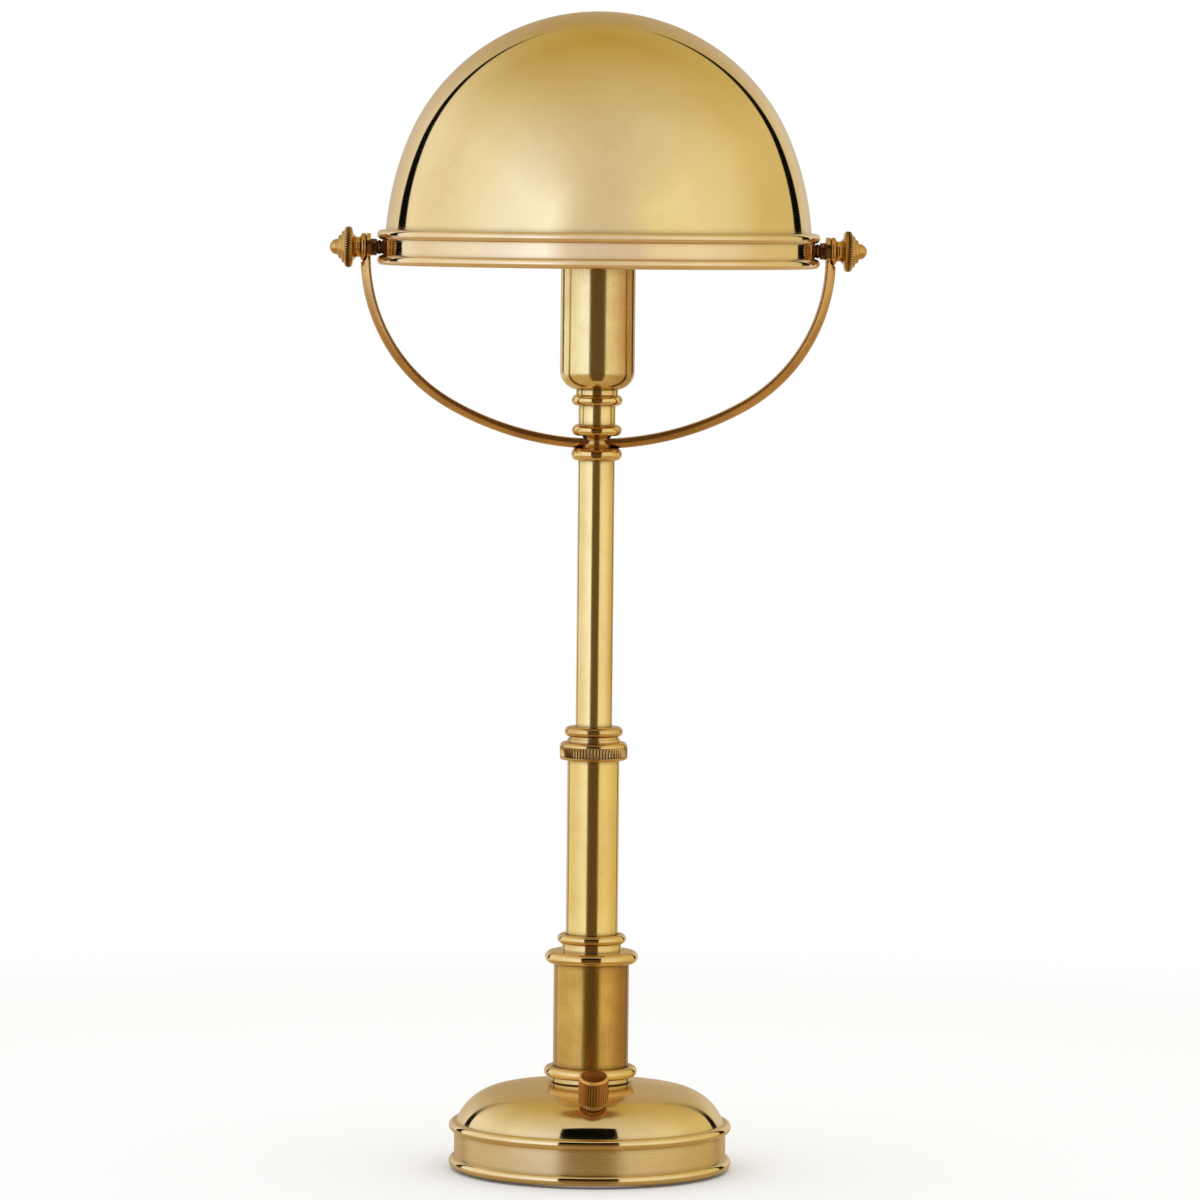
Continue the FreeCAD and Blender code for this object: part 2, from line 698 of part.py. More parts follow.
# The yoke's half-round bar follows a wide arc below and a tighter one at each side.
yoke_half_width = ring_radius + yoke_side_gap + yoke_thickness
sweep = math.radians(yoke_side_sweep)
side_centre_x = yoke_half_width - yoke_side_radius
joint_x = side_centre_x + yoke_side_radius * math.cos(sweep)
yoke_low_radius = joint_x / math.cos(sweep)
yoke_drop = (yoke_low_radius + yoke_side_radius * math.sin(sweep)
             - yoke_low_radius * math.sin(sweep))
yoke_curve_z = boss_bottom + yoke_strap_lift + yoke_drop
yoke_low_centre_z = yoke_curve_z - yoke_drop + yoke_low_radius
pivot_z = yoke_curve_z + yoke_eye_rise
yoke_inner_x = yoke_half_width - yoke_thickness

# ---------------------------------------------------------------- stem and yoke: pieces
nipple_hole = nipple_radius + round_gap
stem = tube(stem_radius, stem_bore, stem_bottom, stem_top)
rings = []
for height in (lower_ring_z, upper_ring_z):
    groove_r = stem_radius - guide_ring_groove
    groove = tube(stem_radius, groove_r, height, height + guide_ring_height)
    stem = stem.cut(groove)
    snap_ring = tube(groove_r + guide_ring_width, groove_r + running_gap,
                     height, height + guide_ring_height)
    opening = block(Vector(0, -groove_r / 3, height),
                    Vector(groove_r * 2, groove_r / 3, height + guide_ring_height))
    rings.append(snap_ring.cut(opening))
keep("stem_tube", stem)
keep("guide_snap_rings", Part.makeCompound(rings))
keep("guide_bush", tube(mid_bore - running_gap, stem_bush_bore, bush_bottom, bush_top))

hub_start, hub_arc = bead(lower_hub_bead_centre_radius, lower_hub_z, lower_hub_bead_radius,
                          stem_radius, lower_hub_bead_centre_radius)
hub_spigot_r = stem_bore - round_gap
keep("lower_hub_collar", turned(
    (nipple_hole, stem_top - hub_spigot), (hub_spigot_r, stem_top - hub_spigot),
    (hub_spigot_r, stem_top), hub_start, hub_arc, (nipple_hole, boss_bottom)))


def half_round(inner, z_axis, x_axis, start, sweep_angle):
    """Stretch of half-round bar bent about a level axis along Y."""
    profile = outline((x_axis - inner, -yoke_thickness),
                      [(x_axis - inner, yoke_thickness),
                       arc((x_axis - inner - yoke_thickness, 0),
                           (x_axis - inner, -yoke_thickness))],
                      lambda x, y: Vector(x, y, z_axis))
    centre = Vector(x_axis, 0, z_axis)
    profile.rotate(centre, ALONG_Y, -start)
    return profile.revolve(centre, ALONG_Y, -sweep_angle)


low_inner = yoke_low_radius - yoke_thickness
side_inner = yoke_side_radius - yoke_thickness
half_low = 90 - yoke_side_sweep
low_bar = half_round(low_inner, yoke_low_centre_z, 0, 90 - half_low, 2 * half_low)
left_bar = half_round(side_inner, yoke_curve_z, -side_centre_x, 0, yoke_side_sweep)
right_bar = left_bar.mirror(ORIGIN, ALONG_X)
boss = turned((nipple_hole, boss_bottom), (yoke_boss_radius, boss_bottom),
              arc((yoke_boss_waist, (boss_bottom + boss_top) / 2),
                  (yoke_boss_radius, boss_top)), (nipple_hole, boss_top))


def yoke_end(side):
    """Straight end of the bar with its flat eye round the pivot."""
    face_x = side * yoke_inner_x
    profile = outline((face_x, -yoke_thickness),
                      [(face_x, yoke_thickness),
                       arc((side * yoke_half_width, 0), (face_x, -yoke_thickness))],
                      lambda x, y: Vector(x, y, yoke_curve_z))
    bar = profile.extrude(UP * yoke_eye_rise)
    eye = Part.makeCylinder(yoke_eye_radius, yoke_eye_thickness,
                            Vector(face_x, 0, pivot_z), ALONG_X * side)
    return bar.fuse(eye)


yoke = low_bar.multiFuse([left_bar, right_bar, boss, yoke_end(-1), yoke_end(1)])
for side in (-1, 1):
    relief_x = side * (yoke_inner_x + yoke_eye_thickness)
    yoke = yoke.cut(Part.makeCylinder(yoke_relief_radius, yoke_thickness,
                                      Vector(relief_x, 0, pivot_z), ALONG_X * side))
    yoke = yoke.cut(Part.makeCylinder(stud_thread_radius + running_gap, yoke_thickness * 2,
                                      Vector(side * yoke_inner_x, 0, pivot_z), ALONG_X * side))
yoke = yoke.cut(rod(nipple_hole, boss_bottom, boss_top))
keep("yoke", yoke.removeSplitter())

neck_spigot_r = neck_tube_radius - tube_wall - round_gap
upper_bead_arc = bead(upper_hub_bead_centre_radius, upper_hub_z, upper_hub_bead_radius,
                      upper_hub_bead_centre_radius, neck_tube_radius)[1]
keep("upper_hub_collar", turned(
    (nipple_hole, boss_top), (upper_hub_bead_centre_radius, boss_top), upper_bead_arc,
    (neck_spigot_r, neck_bottom), (neck_spigot_r, neck_bottom + neck_spigot),
    (nipple_hole, neck_bottom + neck_spigot)))
keep("neck_tube", tube(neck_tube_radius, neck_tube_radius - tube_wall, neck_bottom, neck_top))
cup_start, cup_arc = bead(cup_bead_centre_radius, cup_bead_z, cup_bead_radius,
                          neck_tube_radius, cup_collar_radius)
keep("cup_collar", turned(
    (nipple_hole, neck_top - neck_spigot), (neck_spigot_r, neck_top - neck_spigot),
    (neck_spigot_r, neck_top), cup_start, cup_arc,
    (cup_collar_radius, cup_bottom), (nipple_hole, cup_bottom)))

cup_floor = cup_bottom + cup_wall
cup_flat = cup_radius - cup_corner
corner_centre = (cup_flat, cup_bottom + cup_corner)
keep("socket_cup", turned(
    (nipple_hole, cup_bottom), (cup_flat, cup_bottom),
    round_arc(corner_centre, cup_corner, -90, 0), (cup_radius, cup_top),
    (cup_radius - cup_wall, cup_top), (cup_radius - cup_wall, corner_centre[1]),
    round_arc(corner_centre, cup_corner - cup_wall, 0, -90), (nipple_hole, cup_floor)))
cup_nut_bottom = cup_floor + cup_washer_height
cup_nut_top = cup_nut_bottom + cup_nut_height
keep("cup_washer", tube(cup_washer_radius, nipple_hole, cup_floor, cup_nut_bottom))
keep("cup_nut", hexagon(cup_nut_flats, cup_nut_bottom, cup_nut_top).cut(
    rod(nipple_hole, cup_nut_bottom, cup_nut_top)))
nipple_top = cup_nut_top + nipple_tail
keep("yoke_nipple", tube(nipple_radius, nipple_bore, stem_top - nipple_root, nipple_top))

# ---------------------------------------------------------------- lampholder and bulb
cap_top = cup_nut_top + holder_cap_height
cap_room = nipple_top + air_gap
keep("lampholder_cap", turned(
    (nipple_hole, cup_nut_top), (holder_radius - holder_wall, cup_nut_top),
    (holder_radius, cup_nut_top + holder_wall), (holder_radius, cap_top),
    (holder_radius - holder_wall, cap_top), (holder_radius - holder_wall, cap_room),
    (nipple_hole, cap_room)))
holder_floor_z = cap_top + holder_floor
holder_top = cap_top + holder_body_height
shell_outer = screw_shell_bore + screw_shell_wall
shell_top = holder_top - 2 * face_gap
shell_bottom = shell_top - screw_shell_height
well_r = shell_outer + round_gap
lead_offset = lead_radius + air_gap
holder = tube(holder_radius, well_r, cap_top, holder_top)
holder = holder.fuse(rod(well_r, cap_top, holder_floor_z)).removeSplitter()
socket_leads = []
for side in (-1, 1):
    holder = holder.cut(rod(lead_radius + round_gap, cap_top, holder_floor_z,
                            side * lead_offset))
    socket_leads.append(rod(lead_radius, stem_bottom + guide_start,
                            cap_top + holder_floor / 2, side * lead_offset))
keep("lampholder_body", holder)
keep("socket_leads", Part.makeCompound(socket_leads))
keep("screw_shell", tube(shell_outer, screw_shell_bore, shell_bottom, shell_top))

tip_bottom = holder_floor_z + contact_height
cap_bottom = tip_bottom + bulb_tip_radius
contact = outline(
    (-contact_width, holder_floor_z),
    [(contact_width, holder_floor_z), (contact_width, holder_floor_z + contact_thickness),
     (-contact_width + contact_thickness, holder_floor_z + contact_thickness),
     (-contact_width + contact_thickness, tip_bottom - contact_thickness),
     (contact_width / 2, tip_bottom - contact_thickness), (contact_width / 2, tip_bottom),
     (-contact_width, tip_bottom)],
    lambda x, z: Vector(x, -contact_width / 2, z)).extrude(ALONG_Y * contact_width)
keep("centre_contact", contact)

bulb_cap_top = cap_bottom + bulb_cap_height
keep("bulb_tip", turned(
    (0, tip_bottom), round_arc((0, cap_bottom), bulb_tip_radius, -90, 0), (0, cap_bottom)))
bulb_cap_bore = bulb_cap_radius - bulb_cap_wall
glass_foot = bulb_cap_bore - round_gap
bulb_seat_z = bulb_cap_top - bulb_seat_depth
keep("bulb_cap", turned(
    (0, cap_bottom), (bulb_cap_radius - bulb_cap_chamfer, cap_bottom),
    (bulb_cap_radius, cap_bottom + bulb_cap_chamfer), (bulb_cap_radius, bulb_cap_top),
    (bulb_cap_bore, bulb_cap_top), (bulb_cap_bore, bulb_seat_z), (0, bulb_seat_z)))

neck_z = bulb_cap_top + bulb_neck_straight
globe_z = bulb_cap_top + bulb_neck_length + bulb_globe_radius
glass_bottom = bulb_seat_z + air_gap


def glass_skin(inset):
    """The glass's neck, the middle of its flare and the globe's start, at one inset."""
    neck = (bulb_neck_radius - inset, neck_z)
    start = polar((0, globe_z), bulb_globe_radius - inset, -bulb_globe_start)
    flare = ((neck[0] + start[0]) / 2 - bulb_flare_hollow,
             (neck[1] + start[1]) / 2 + bulb_flare_hollow)
    return neck, flare, start


neck, flare, globe_start = glass_skin(0)
inner_neck, inner_flare, _ = glass_skin(bulb_wall)
inner_globe = bulb_globe_radius - bulb_wall
keep("bulb_glass", turned(
    (glass_foot, glass_bottom), (glass_foot, bulb_cap_top), neck, arc(flare, globe_start),
    round_arc((0, globe_z), bulb_globe_radius, -bulb_globe_start, 90),
    (0, globe_z + inner_globe),
    round_arc((0, globe_z), inner_globe, 90, -bulb_globe_start),
    arc(inner_flare, inner_neck), (glass_foot - bulb_wall, bulb_cap_top),
    (glass_foot - bulb_wall, glass_bottom)))
stem_head = bulb_seat_z + bulb_stem_height
stem_neck = stem_head - 2 * bulb_stem_head_height
keep("bulb_mount", turned(
    (0, bulb_seat_z), (bulb_stem_radius + bulb_stem_foot_flare, bulb_seat_z),
    (bulb_stem_radius, bulb_cap_top), (bulb_stem_radius, stem_neck),
    (filament_spread_radius, stem_head - bulb_stem_head_height),
    (filament_spread_radius, stem_head), (0, stem_head)))
filaments = []
for i in range(filament_count):
    x, y = polar((0, 0), filament_spread_radius - filament_radius, 45 + 360 * i / filament_count)
    filaments.append(rod(filament_radius, stem_head, stem_head + filament_length, x, y))
keep("bulb_filaments", Part.makeCompound(filaments))

# ---------------------------------------------------------------- shade
lower_ring_bead_z = pivot_z - ring_bead_gap / 2
upper_ring_bead_z = pivot_z + ring_bead_gap / 2
ring_bottom = lower_ring_bead_z - ring_bead_radius
ring_top = upper_ring_bead_z + ring_bead_radius
ring_bore = ring_radius - ring_bore_wall
lip_top = ring_bottom + ring_lip_height
ring = turned(
    (ring_bore - ring_lip_width, ring_bottom), (ring_radius, ring_bottom),
    arc((ring_radius + ring_bead_radius, lower_ring_bead_z),
        (ring_radius, lower_ring_bead_z + ring_bead_radius)),
    (ring_radius, upper_ring_bead_z - ring_bead_radius),
    arc((ring_radius + ring_bead_radius, upper_ring_bead_z), (ring_radius, ring_top)),
    (ring_bore, ring_top), (ring_bore, lip_top), (ring_bore - ring_lip_width, lip_top))

dome_mouth_radius = ring_bore - round_gap
equator_z = lip_top + dome_skirt
flank_centre = (dome_mouth_radius - dome_flank_radius, equator_z)
flank_end = polar(flank_centre, dome_flank_radius, dome_flank_sweep)
dome_crown_radius = flank_end[0] / math.cos(math.radians(dome_flank_sweep))
dome_centre = (0, flank_end[1] - dome_crown_radius * math.sin(math.radians(dome_flank_sweep)))
inner_crown = dome_crown_radius - dome_wall
dome = turned(
    (dome_mouth_radius - dome_wall, lip_top), (dome_mouth_radius, lip_top),
    (dome_mouth_radius, equator_z),
    round_arc(flank_centre, dome_flank_radius, 0, dome_flank_sweep),
    round_arc(dome_centre, dome_crown_radius, dome_flank_sweep, 90),
    (0, dome_centre[1] + inner_crown),
    round_arc(dome_centre, inner_crown, 90, dome_flank_sweep),
    round_arc(flank_centre, dome_flank_radius - dome_wall, dome_flank_sweep, 0))

stud_face = ring_radius + 3 * face_gap
stud_end = yoke_inner_x - friction_washer_height
stud_tip = stud_end + stud_outer_length
stud = rod(stud_thread_radius, stud_face - stud_inner_length, stud_tip)
stud = stud.fuse(rod(stud_foot_radius, stud_face, stud_face + stud_foot_length))
stud = stud.fuse(rod(stud_shoulder_radius, stud_face + stud_foot_length, stud_end))
stud = stud.removeSplitter()
washer_rise = max(pivot_z + inner_washer_radius - equator_z, 0)
dome_inside = flank_centre[0] + rise(dome_flank_radius - dome_wall, washer_rise)
inner_face = rise(dome_inside, inner_washer_radius)
inner_nut_face = inner_face - inner_washer_height
stud_hole = stud_thread_radius + round_gap
inner_washer = tube(inner_washer_radius, stud_hole, inner_nut_face, inner_face)
inner_nut = hexagon(inner_nut_flats, inner_nut_face - inner_nut_height, inner_nut_face).cut(
    rod(stud_hole, inner_nut_face - inner_nut_height, inner_nut_face))
friction_washer = tube(stud_shoulder_radius, stud_hole, stud_end, yoke_inner_x)
hole = rod(stud_hole, inner_nut_face, ring_radius + ring_bead_radius)


def turned_knob():
    """Side knob along +Z from its flange face: bead, waist, knurled disc, domed tip."""
    face = yoke_inner_x + yoke_eye_thickness + face_gap
    flange_circle = knob_flange_radius - knob_flange_bead
    flange_end = face + 2 * knob_flange_bead
    disc_start = face + knob_disc_start
    disc_end = face + knob_disc_end
    disc_middle = (disc_start + disc_end) / 2
    disc_edge = knob_disc_radius - knob_disc_edge
    step_end = disc_end + knob_step_length
    cone_end = step_end + knob_cone_length
    piece = turned(
        (0, face), (flange_circle, face),
        arc((knob_flange_radius, face + knob_flange_bead), (flange_circle, flange_end)),
        arc((knob_waist_radius, flange_end + (disc_start - flange_end) * knob_waist_place),
            (disc_edge, disc_start)),
        arc((knob_disc_radius, disc_middle), (disc_edge, disc_end)),
        (knob_step_radius, disc_end), (knob_cone_radius, step_end), (knob_tip_radius, cone_end),
        round_arc((0, cone_end), knob_tip_radius, 0, 90))
    strip = (disc_end - disc_start) * knob_strip_share / 2
    piece = knurl(piece, knob_disc_radius, flute_depth, knob_strip_flutes,
                  disc_middle - strip, disc_middle + strip)
    return piece.cut(rod(stud_thread_radius + running_gap, face,
                         stud_tip + knob_bore_past_stud))


def on_pivot(shape, side):
    """Lay a piece made along +Z along the pivot, on the left or the right."""
    placed = laid_along_x(shape, side)
    placed.translate(Vector(0, 0, pivot_z))
    return placed


side_knob = turned_knob()
for side in (-1, 1):
    ring = ring.cut(on_pivot(hole, side))
    dome = dome.cut(on_pivot(hole, side))
keep("shade_dome", dome)
keep("shade_ring", ring)
keep("pivot_studs", Part.makeCompound([on_pivot(stud, s) for s in (-1, 1)]))
keep("pivot_inner_washers", Part.makeCompound([on_pivot(inner_washer, s) for s in (-1, 1)]))
keep("pivot_inner_nuts", Part.makeCompound([on_pivot(inner_nut, s) for s in (-1, 1)]))
keep("friction_washers", Part.makeCompound([on_pivot(friction_washer, s) for s in (-1, 1)]))
keep("knob_left", on_pivot(side_knob, -1))
keep("knob_right", on_pivot(side_knob, 1))

# ---------------------------------------------------------------- files
os.makedirs("parts", exist_ok=True)
for name, shape in shapes.items():
    shape.exportStep("parts/" + name + ".step")
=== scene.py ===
"""Dome shade desk lamp, dressed piece by piece in the order it is put together."""
import math

import bpy
from mathutils import Matrix, Vector


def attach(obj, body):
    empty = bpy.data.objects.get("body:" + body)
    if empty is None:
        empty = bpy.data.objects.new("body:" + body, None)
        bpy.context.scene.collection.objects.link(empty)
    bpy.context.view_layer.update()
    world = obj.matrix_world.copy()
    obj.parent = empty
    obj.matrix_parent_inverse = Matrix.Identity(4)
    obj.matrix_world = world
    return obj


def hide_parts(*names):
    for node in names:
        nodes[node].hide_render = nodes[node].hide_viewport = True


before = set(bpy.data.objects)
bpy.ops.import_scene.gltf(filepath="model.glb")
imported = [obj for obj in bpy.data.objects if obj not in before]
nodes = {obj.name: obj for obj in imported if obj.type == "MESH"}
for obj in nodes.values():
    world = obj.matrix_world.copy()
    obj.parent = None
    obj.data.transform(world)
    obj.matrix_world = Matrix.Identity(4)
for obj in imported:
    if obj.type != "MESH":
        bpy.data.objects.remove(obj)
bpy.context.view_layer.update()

# ---------------------------------------------------------------- camera
# A long lens stands a little left of the switch knob and above the foot, tipped down and
# turned a touch, so that the lamp fills the square frame.
camera_distance = 2.874
camera_height = 0.439
camera_side = math.radians(-1.7)
camera_tip = math.radians(3.62)
camera_turn = math.radians(0.58)
aim_beside_column = 0.0022
lens_mm, sensor_mm = 192.4, 36.0
bpy.ops.object.select_all(action="DESELECT")
bpy.ops.object.camera_add()
camera = bpy.context.object
camera.name = "studio_camera"
camera.data.lens = lens_mm
camera.data.sensor_width = sensor_mm
camera.data.clip_end = 20.0
right = Vector((math.cos(camera_side), math.sin(camera_side), 0))
back = Vector((math.sin(camera_side), -math.cos(camera_side), 0))
camera.matrix_world = (
    Matrix.Translation(back * camera_distance + right * aim_beside_column
                       + Vector((0, 0, camera_height)))
    @ Matrix.Rotation(camera_side, 4, "Z")
    @ Matrix.Rotation(math.radians(90) - camera_tip, 4, "X")
    @ Matrix.Rotation(camera_turn, 4, "Z"))
bpy.context.scene.camera = camera


# ---------------------------------------------------------------- studio
# White sweep with side walls that darken overhead, and a thin black hoop behind the lamp.
# Polished brass shows all of it. Matt surfaces and the camera see plain white.
def linear(code):
    """Hex sRGB colour as linear values."""
    parts = [int(code[i:i + 2], 16) / 255 for i in (0, 2, 4)]
    return tuple(c / 12.92 if c <= 0.04045 else ((c + 0.055) / 1.055) ** 2.4
                 for c in parts) + (1.0,)


def node(tree, kind, inputs=(), marks=(), **settings):
    """Add a shader node, or take a made one, and give it its settings, marks and inputs.

    Inputs go by name, or by place among those in use. Each is a value, a socket, or a node
    that stands for its first output in use. Marks are a ramp's places and colours.
    """
    made = kind if isinstance(kind, bpy.types.Node) else tree.nodes.new("ShaderNode" + kind)
    for key, value in settings.items():
        setattr(made, key, value)
    for count, (place, colour) in enumerate(marks):
        ramp = made.color_ramp.elements
        if count == len(ramp):
            ramp.new(place)
        ramp[count].position = place
        ramp[count].color = (*colour, 1.0)
    in_use = [socket for socket in made.inputs if socket.enabled]
    pairs = inputs.items() if isinstance(inputs, dict) else enumerate(inputs)
    for place, value in pairs:
        socket = made.inputs[place] if isinstance(place, str) else in_use[place]
        if isinstance(value, bpy.types.Node):
            value = next(output for output in value.outputs if output.enabled)
        if isinstance(value, bpy.types.NodeSocket):
            tree.links.new(value, socket)
        elif socket.type == "RGBA":
            socket.default_value = (*value[:3], 1.0)
        else:
            socket.default_value = value
    return made


def walls_seen(tree, direction):
    """Walls' colour in a direction, with its side, its height and its angle off the front."""
    side_way, depth_way, up_way = node(tree, "SeparateXYZ", (direction,)).outputs
    front_way = node(tree, "Math", (depth_way, -1.0), operation="MULTIPLY")
    off_front = node(tree, "Math", (front_way,), operation="ARCCOSINE")
    share = node(tree, "Math", (off_front, math.pi), operation="DIVIDE")
    facing = node(tree, "CombineXYZ", (side_way, up_way, 0.0))
    facing = node(tree, "VectorMath", (facing,), operation="NORMALIZE")
    around = node(tree, "SeparateXYZ", (facing,))
    to_right = node(tree, "MapRange", (around.outputs[0], -0.7, 0.7))
    to_top = node(tree, "MapRange", (around.outputs[1], 0.5, 1.0))
    front = (0.8, 0.79, 0.87)
    behind = (0.55, 0.44, 0.28)
    left_wall = node(tree, "ValToRGB", (share,), marks=[
        (0.0, front), (0.1, (0.9, 0.92, 1.02)), (0.17, (1.24, 1.42, 1.85)),
        (0.3, (1.13, 1.27, 1.7)), (0.42, (1.05, 1.12, 1.24)), (0.56, (0.98, 1.0, 1.02)),
        (0.69, (1.03, 1.04, 1.03)), (0.76, (0.95, 0.93, 0.88)), (0.84, (0.78, 0.7, 0.58)),
        (1.0, behind)])
    right_wall = node(tree, "ValToRGB", (share,), marks=[
        (0.0, front), (0.1, (0.84, 0.82, 0.82)), (0.17, (1.02, 1.02, 0.9)),
        (0.3, (1.04, 1.03, 0.96)), (0.42, (0.96, 0.93, 0.8)), (0.56, (0.84, 0.76, 0.48)),
        (0.73, (0.76, 0.67, 0.36)), (0.84, (0.78, 0.7, 0.56)), (1.0, behind)])
    overhead = node(tree, "ValToRGB", (share,), marks=[
        (0.0, front), (0.22, (0.82, 0.8, 0.83)), (0.39, (0.74, 0.68, 0.56)),
        (0.53, (0.66, 0.56, 0.31)), (0.65, (0.57, 0.45, 0.15)), (0.73, (0.58, 0.46, 0.16)),
        (0.79, (0.52, 0.4, 0.22)), (1.0, (0.5, 0.38, 0.22))])
    seen = node(tree, "Mix", (to_right, left_wall, right_wall), data_type="RGBA")
    seen = node(tree, "Mix", (to_top, seen, overhead), data_type="RGBA")
    below = node(tree, "MapRange", (up_way, -0.17, -0.4))
    floor_glow = (0.62, 0.48, 0.28)
    seen = node(tree, "Mix", (below, seen, floor_glow), data_type="RGBA")
    return seen, side_way, up_way, off_front


world = bpy.data.worlds.new("studio")
bpy.context.scene.world = world
world.use_nodes = True
room = world.node_tree
room.nodes.clear()
walls, side_way, up_way, off_front = walls_seen(
    room, node(room, "TexCoord").outputs["Generated"])

# The hoop: widest at its feet, gone at its top, and soft where it runs into the floor.
hoop_angle, hoop_half_width, hoop_top = (math.radians(a) for a in (136, 5.9, 76))
hoop_inside, hoop_outside = math.radians(0.5), math.radians(-0.3)
hoop_black = (0.004, 0.004, 0.004)
beside = node(room, "Math", (side_way,), operation="ABSOLUTE")
hoop_rise = node(room, "Math", (up_way, beside), operation="ARCTAN2")
hoop_rise = node(room, "Math", (hoop_rise, 0.0), operation="MAXIMUM")
hoop_half = node(room, "MapRange", (hoop_rise, 0.0, hoop_top, hoop_half_width, 0.0))
hoop_off = node(room, "Math", (off_front, hoop_angle), operation="SUBTRACT")
hoop_off = node(room, "Math", (hoop_off,), operation="ABSOLUTE")
hoop_gap = node(room, "Math", (hoop_half, hoop_off), operation="SUBTRACT")
hoop = node(room, "MapRange", (hoop_gap, hoop_outside, hoop_inside))
hoop_above = node(room, "MapRange", (up_way, -0.3, -0.02))
hoop = node(room, "Math", (hoop, hoop_above), operation="MULTIPLY")
walls = node(room, "Mix", (hoop, walls, hoop_black), data_type="RGBA")

matt_white, plain_white = (1.08, 1.08, 1.08), (1.0, 1.0, 1.0)
path = node(room, "LightPath").outputs
walls = node(room, "Mix", (path["Is Diffuse Ray"], walls, matt_white), data_type="RGBA")
walls = node(room, "Mix", (path["Is Camera Ray"], walls, plain_white), data_type="RGBA")
node(room, "OutputWorld", (node(room, "Background", (walls,)),))

# ---------------------------------------------------------------- table
# Plain pale top, larger than the view, that fades into the white sweep and keeps the lamp's
# shadow. Brass sees through its far part into the room, and the top can't be seen from below.
# In brass its near part shows a painted golden-brown shadow and glow from the lamp.
table_radius = 1.4
fade_from, fade_to = 0.135, 0.9
brass_sees_from, brass_sees_to = 0.205, 0.235
brass_sees_near = 0.38
table_shadow_glow_in_brass = (0.56, 0.4, 0.2)
under_foot = 0.055
speck_size = 1 / 900
bpy.ops.object.select_all(action="DESELECT")
bpy.ops.mesh.primitive_circle_add(vertices=96, radius=table_radius, fill_type="NGON")
table = bpy.context.object
table.name = "table_top"
top_paint = bpy.data.materials.new("pale_table_paint")
top_paint.use_nodes = True
tree = top_paint.node_tree
tree.nodes.clear()
spot = node(tree, "TexCoord").outputs["Object"]
reach = node(tree, "VectorMath", (spot,), operation="LENGTH")
path = node(tree, "LightPath").outputs
fade = node(tree, "MapRange", (reach, fade_from, fade_to), interpolation_type="SMOOTHSTEP")
beyond = node(tree, "MapRange", (reach, brass_sees_from, brass_sees_to, brass_sees_near, 1.0))
beyond = node(tree, "Math", (beyond, path["Is Glossy Ray"]), operation="MULTIPLY")
hidden_by_foot = node(tree, "Math", (reach, under_foot), operation="LESS_THAN")
from_below = node(tree, "NewGeometry").outputs["Backfacing"]
see_through = fade
for share in (beyond, hidden_by_foot, from_below):
    see_through = node(tree, "Math", (see_through, share), operation="MAXIMUM")
speck = node(tree, "TexNoise", {"Vector": spot, "Scale": 1 / speck_size, "Detail": 3.0})
tone = node(tree, "Mix", (speck, linear("FCFCFB"), linear("FEFEFD")), data_type="RGBA")
# Painted shadow and glow: brass rays see the near table in a golden-brown tone.
tone = node(tree, "Mix", (path["Is Glossy Ray"], tone, table_shadow_glow_in_brass), data_type="RGBA")
paint = node(tree, "BsdfDiffuse", (tone,))
clear = node(tree, "BsdfTransparent")
node(tree, "OutputMaterial", (node(tree, "MixShader", (see_through, paint, clear)),))
table.data.materials.append(top_paint)

# ---------------------------------------------------------------- foot pad, plate and weight
# Green wool felt glued under a zinc plated steel plate. Three screws hold the plate to a cast
# iron disc, which keeps the lamp from tipping. Only the pad's rim and the plate's edge show.
MM = 0.001


def finish(name, metallic=0.0, roughness=0.5):
    """New material: its tree, its shader and the piece's own coordinates in metres."""
    made = bpy.data.materials.new(name)
    made.use_nodes = True
    tree = made.node_tree
    shader = node(tree, tree.nodes["Principled BSDF"], {"Metallic": metallic,
                                                        "Roughness": roughness})
    return made, tree, shader, node(tree, "TexCoord").outputs["Object"]


def mottled(name, base, dark, grain_mm, depth_mm, metallic=0.0, roughness=0.5, cloud_mm=11.11):
    """Moulded, cast or woven material: two tones and a fine relief at a real grain size."""
    made, tree, shader, spot = finish(name, metallic, roughness)
    grain = node(tree, "TexNoise", {"Vector": spot, "Scale": 1 / (grain_mm * MM),
                                    "Detail": 4.0, "Roughness": 0.6})
    cloud = node(tree, "TexNoise", {"Vector": spot, "Scale": 1 / (cloud_mm * MM),
                                    "Detail": 2.0})
    tone = node(tree, "Math", (grain, cloud), operation="MULTIPLY")
    tone = node(tree, "MapRange", (tone, 0.12, 0.42))
    tone = node(tree, "Mix", (tone, linear(dark), linear(base)), data_type="RGBA")
    worn = node(tree, "MapRange", (cloud, 0.3, 0.7, roughness * 0.85,
                                   min(roughness * 1.15, 1.0)))
    relief = node(tree, "Bump", {"Height": grain, "Strength": 0.6, "Distance": depth_mm * MM})
    node(tree, shader, {"Base Color": tone, "Roughness": worn, "Normal": relief})
    return made, shader


def dress(made, *names):
    """Put a finish on CAD nodes that are shown as they are."""
    for name in names:
        for place in nodes[name].material_slots:
            place.material = made


# Wool felt: fibres about 0.3 mm, very matt with a soft sheen.
felt, shader = mottled("wool_felt", "2E4A38", "16281D", 0.3, 0.25, roughness=0.95)
shader.inputs["Sheen Weight"].default_value = 0.4
dress(felt, "foot_pad")

# Bright zinc on steel: slightly blue grey with a fine crystal bloom.
zinc, shader = mottled("zinc_plated_steel", "C6C9CC", "9DA1A6", 0.6, 0.01, metallic=1.0,
                       roughness=0.32)
dress(zinc, "bottom_plate", "plate_screws", "rod_nut", "rod_washer", "cup_nut", "cup_washer",
      "pivot_inner_nuts", "pivot_inner_washers", "switch_back_nut", "switch_shaft",
      "guide_snap_rings")

# Sand cast iron: dark grey, grains about 0.5 mm.
iron, shader = mottled("sand_cast_iron", "55565A", "2C2D30", 0.5, 0.12, metallic=0.6,
                       roughness=0.6)
dress(iron, "base_weight")


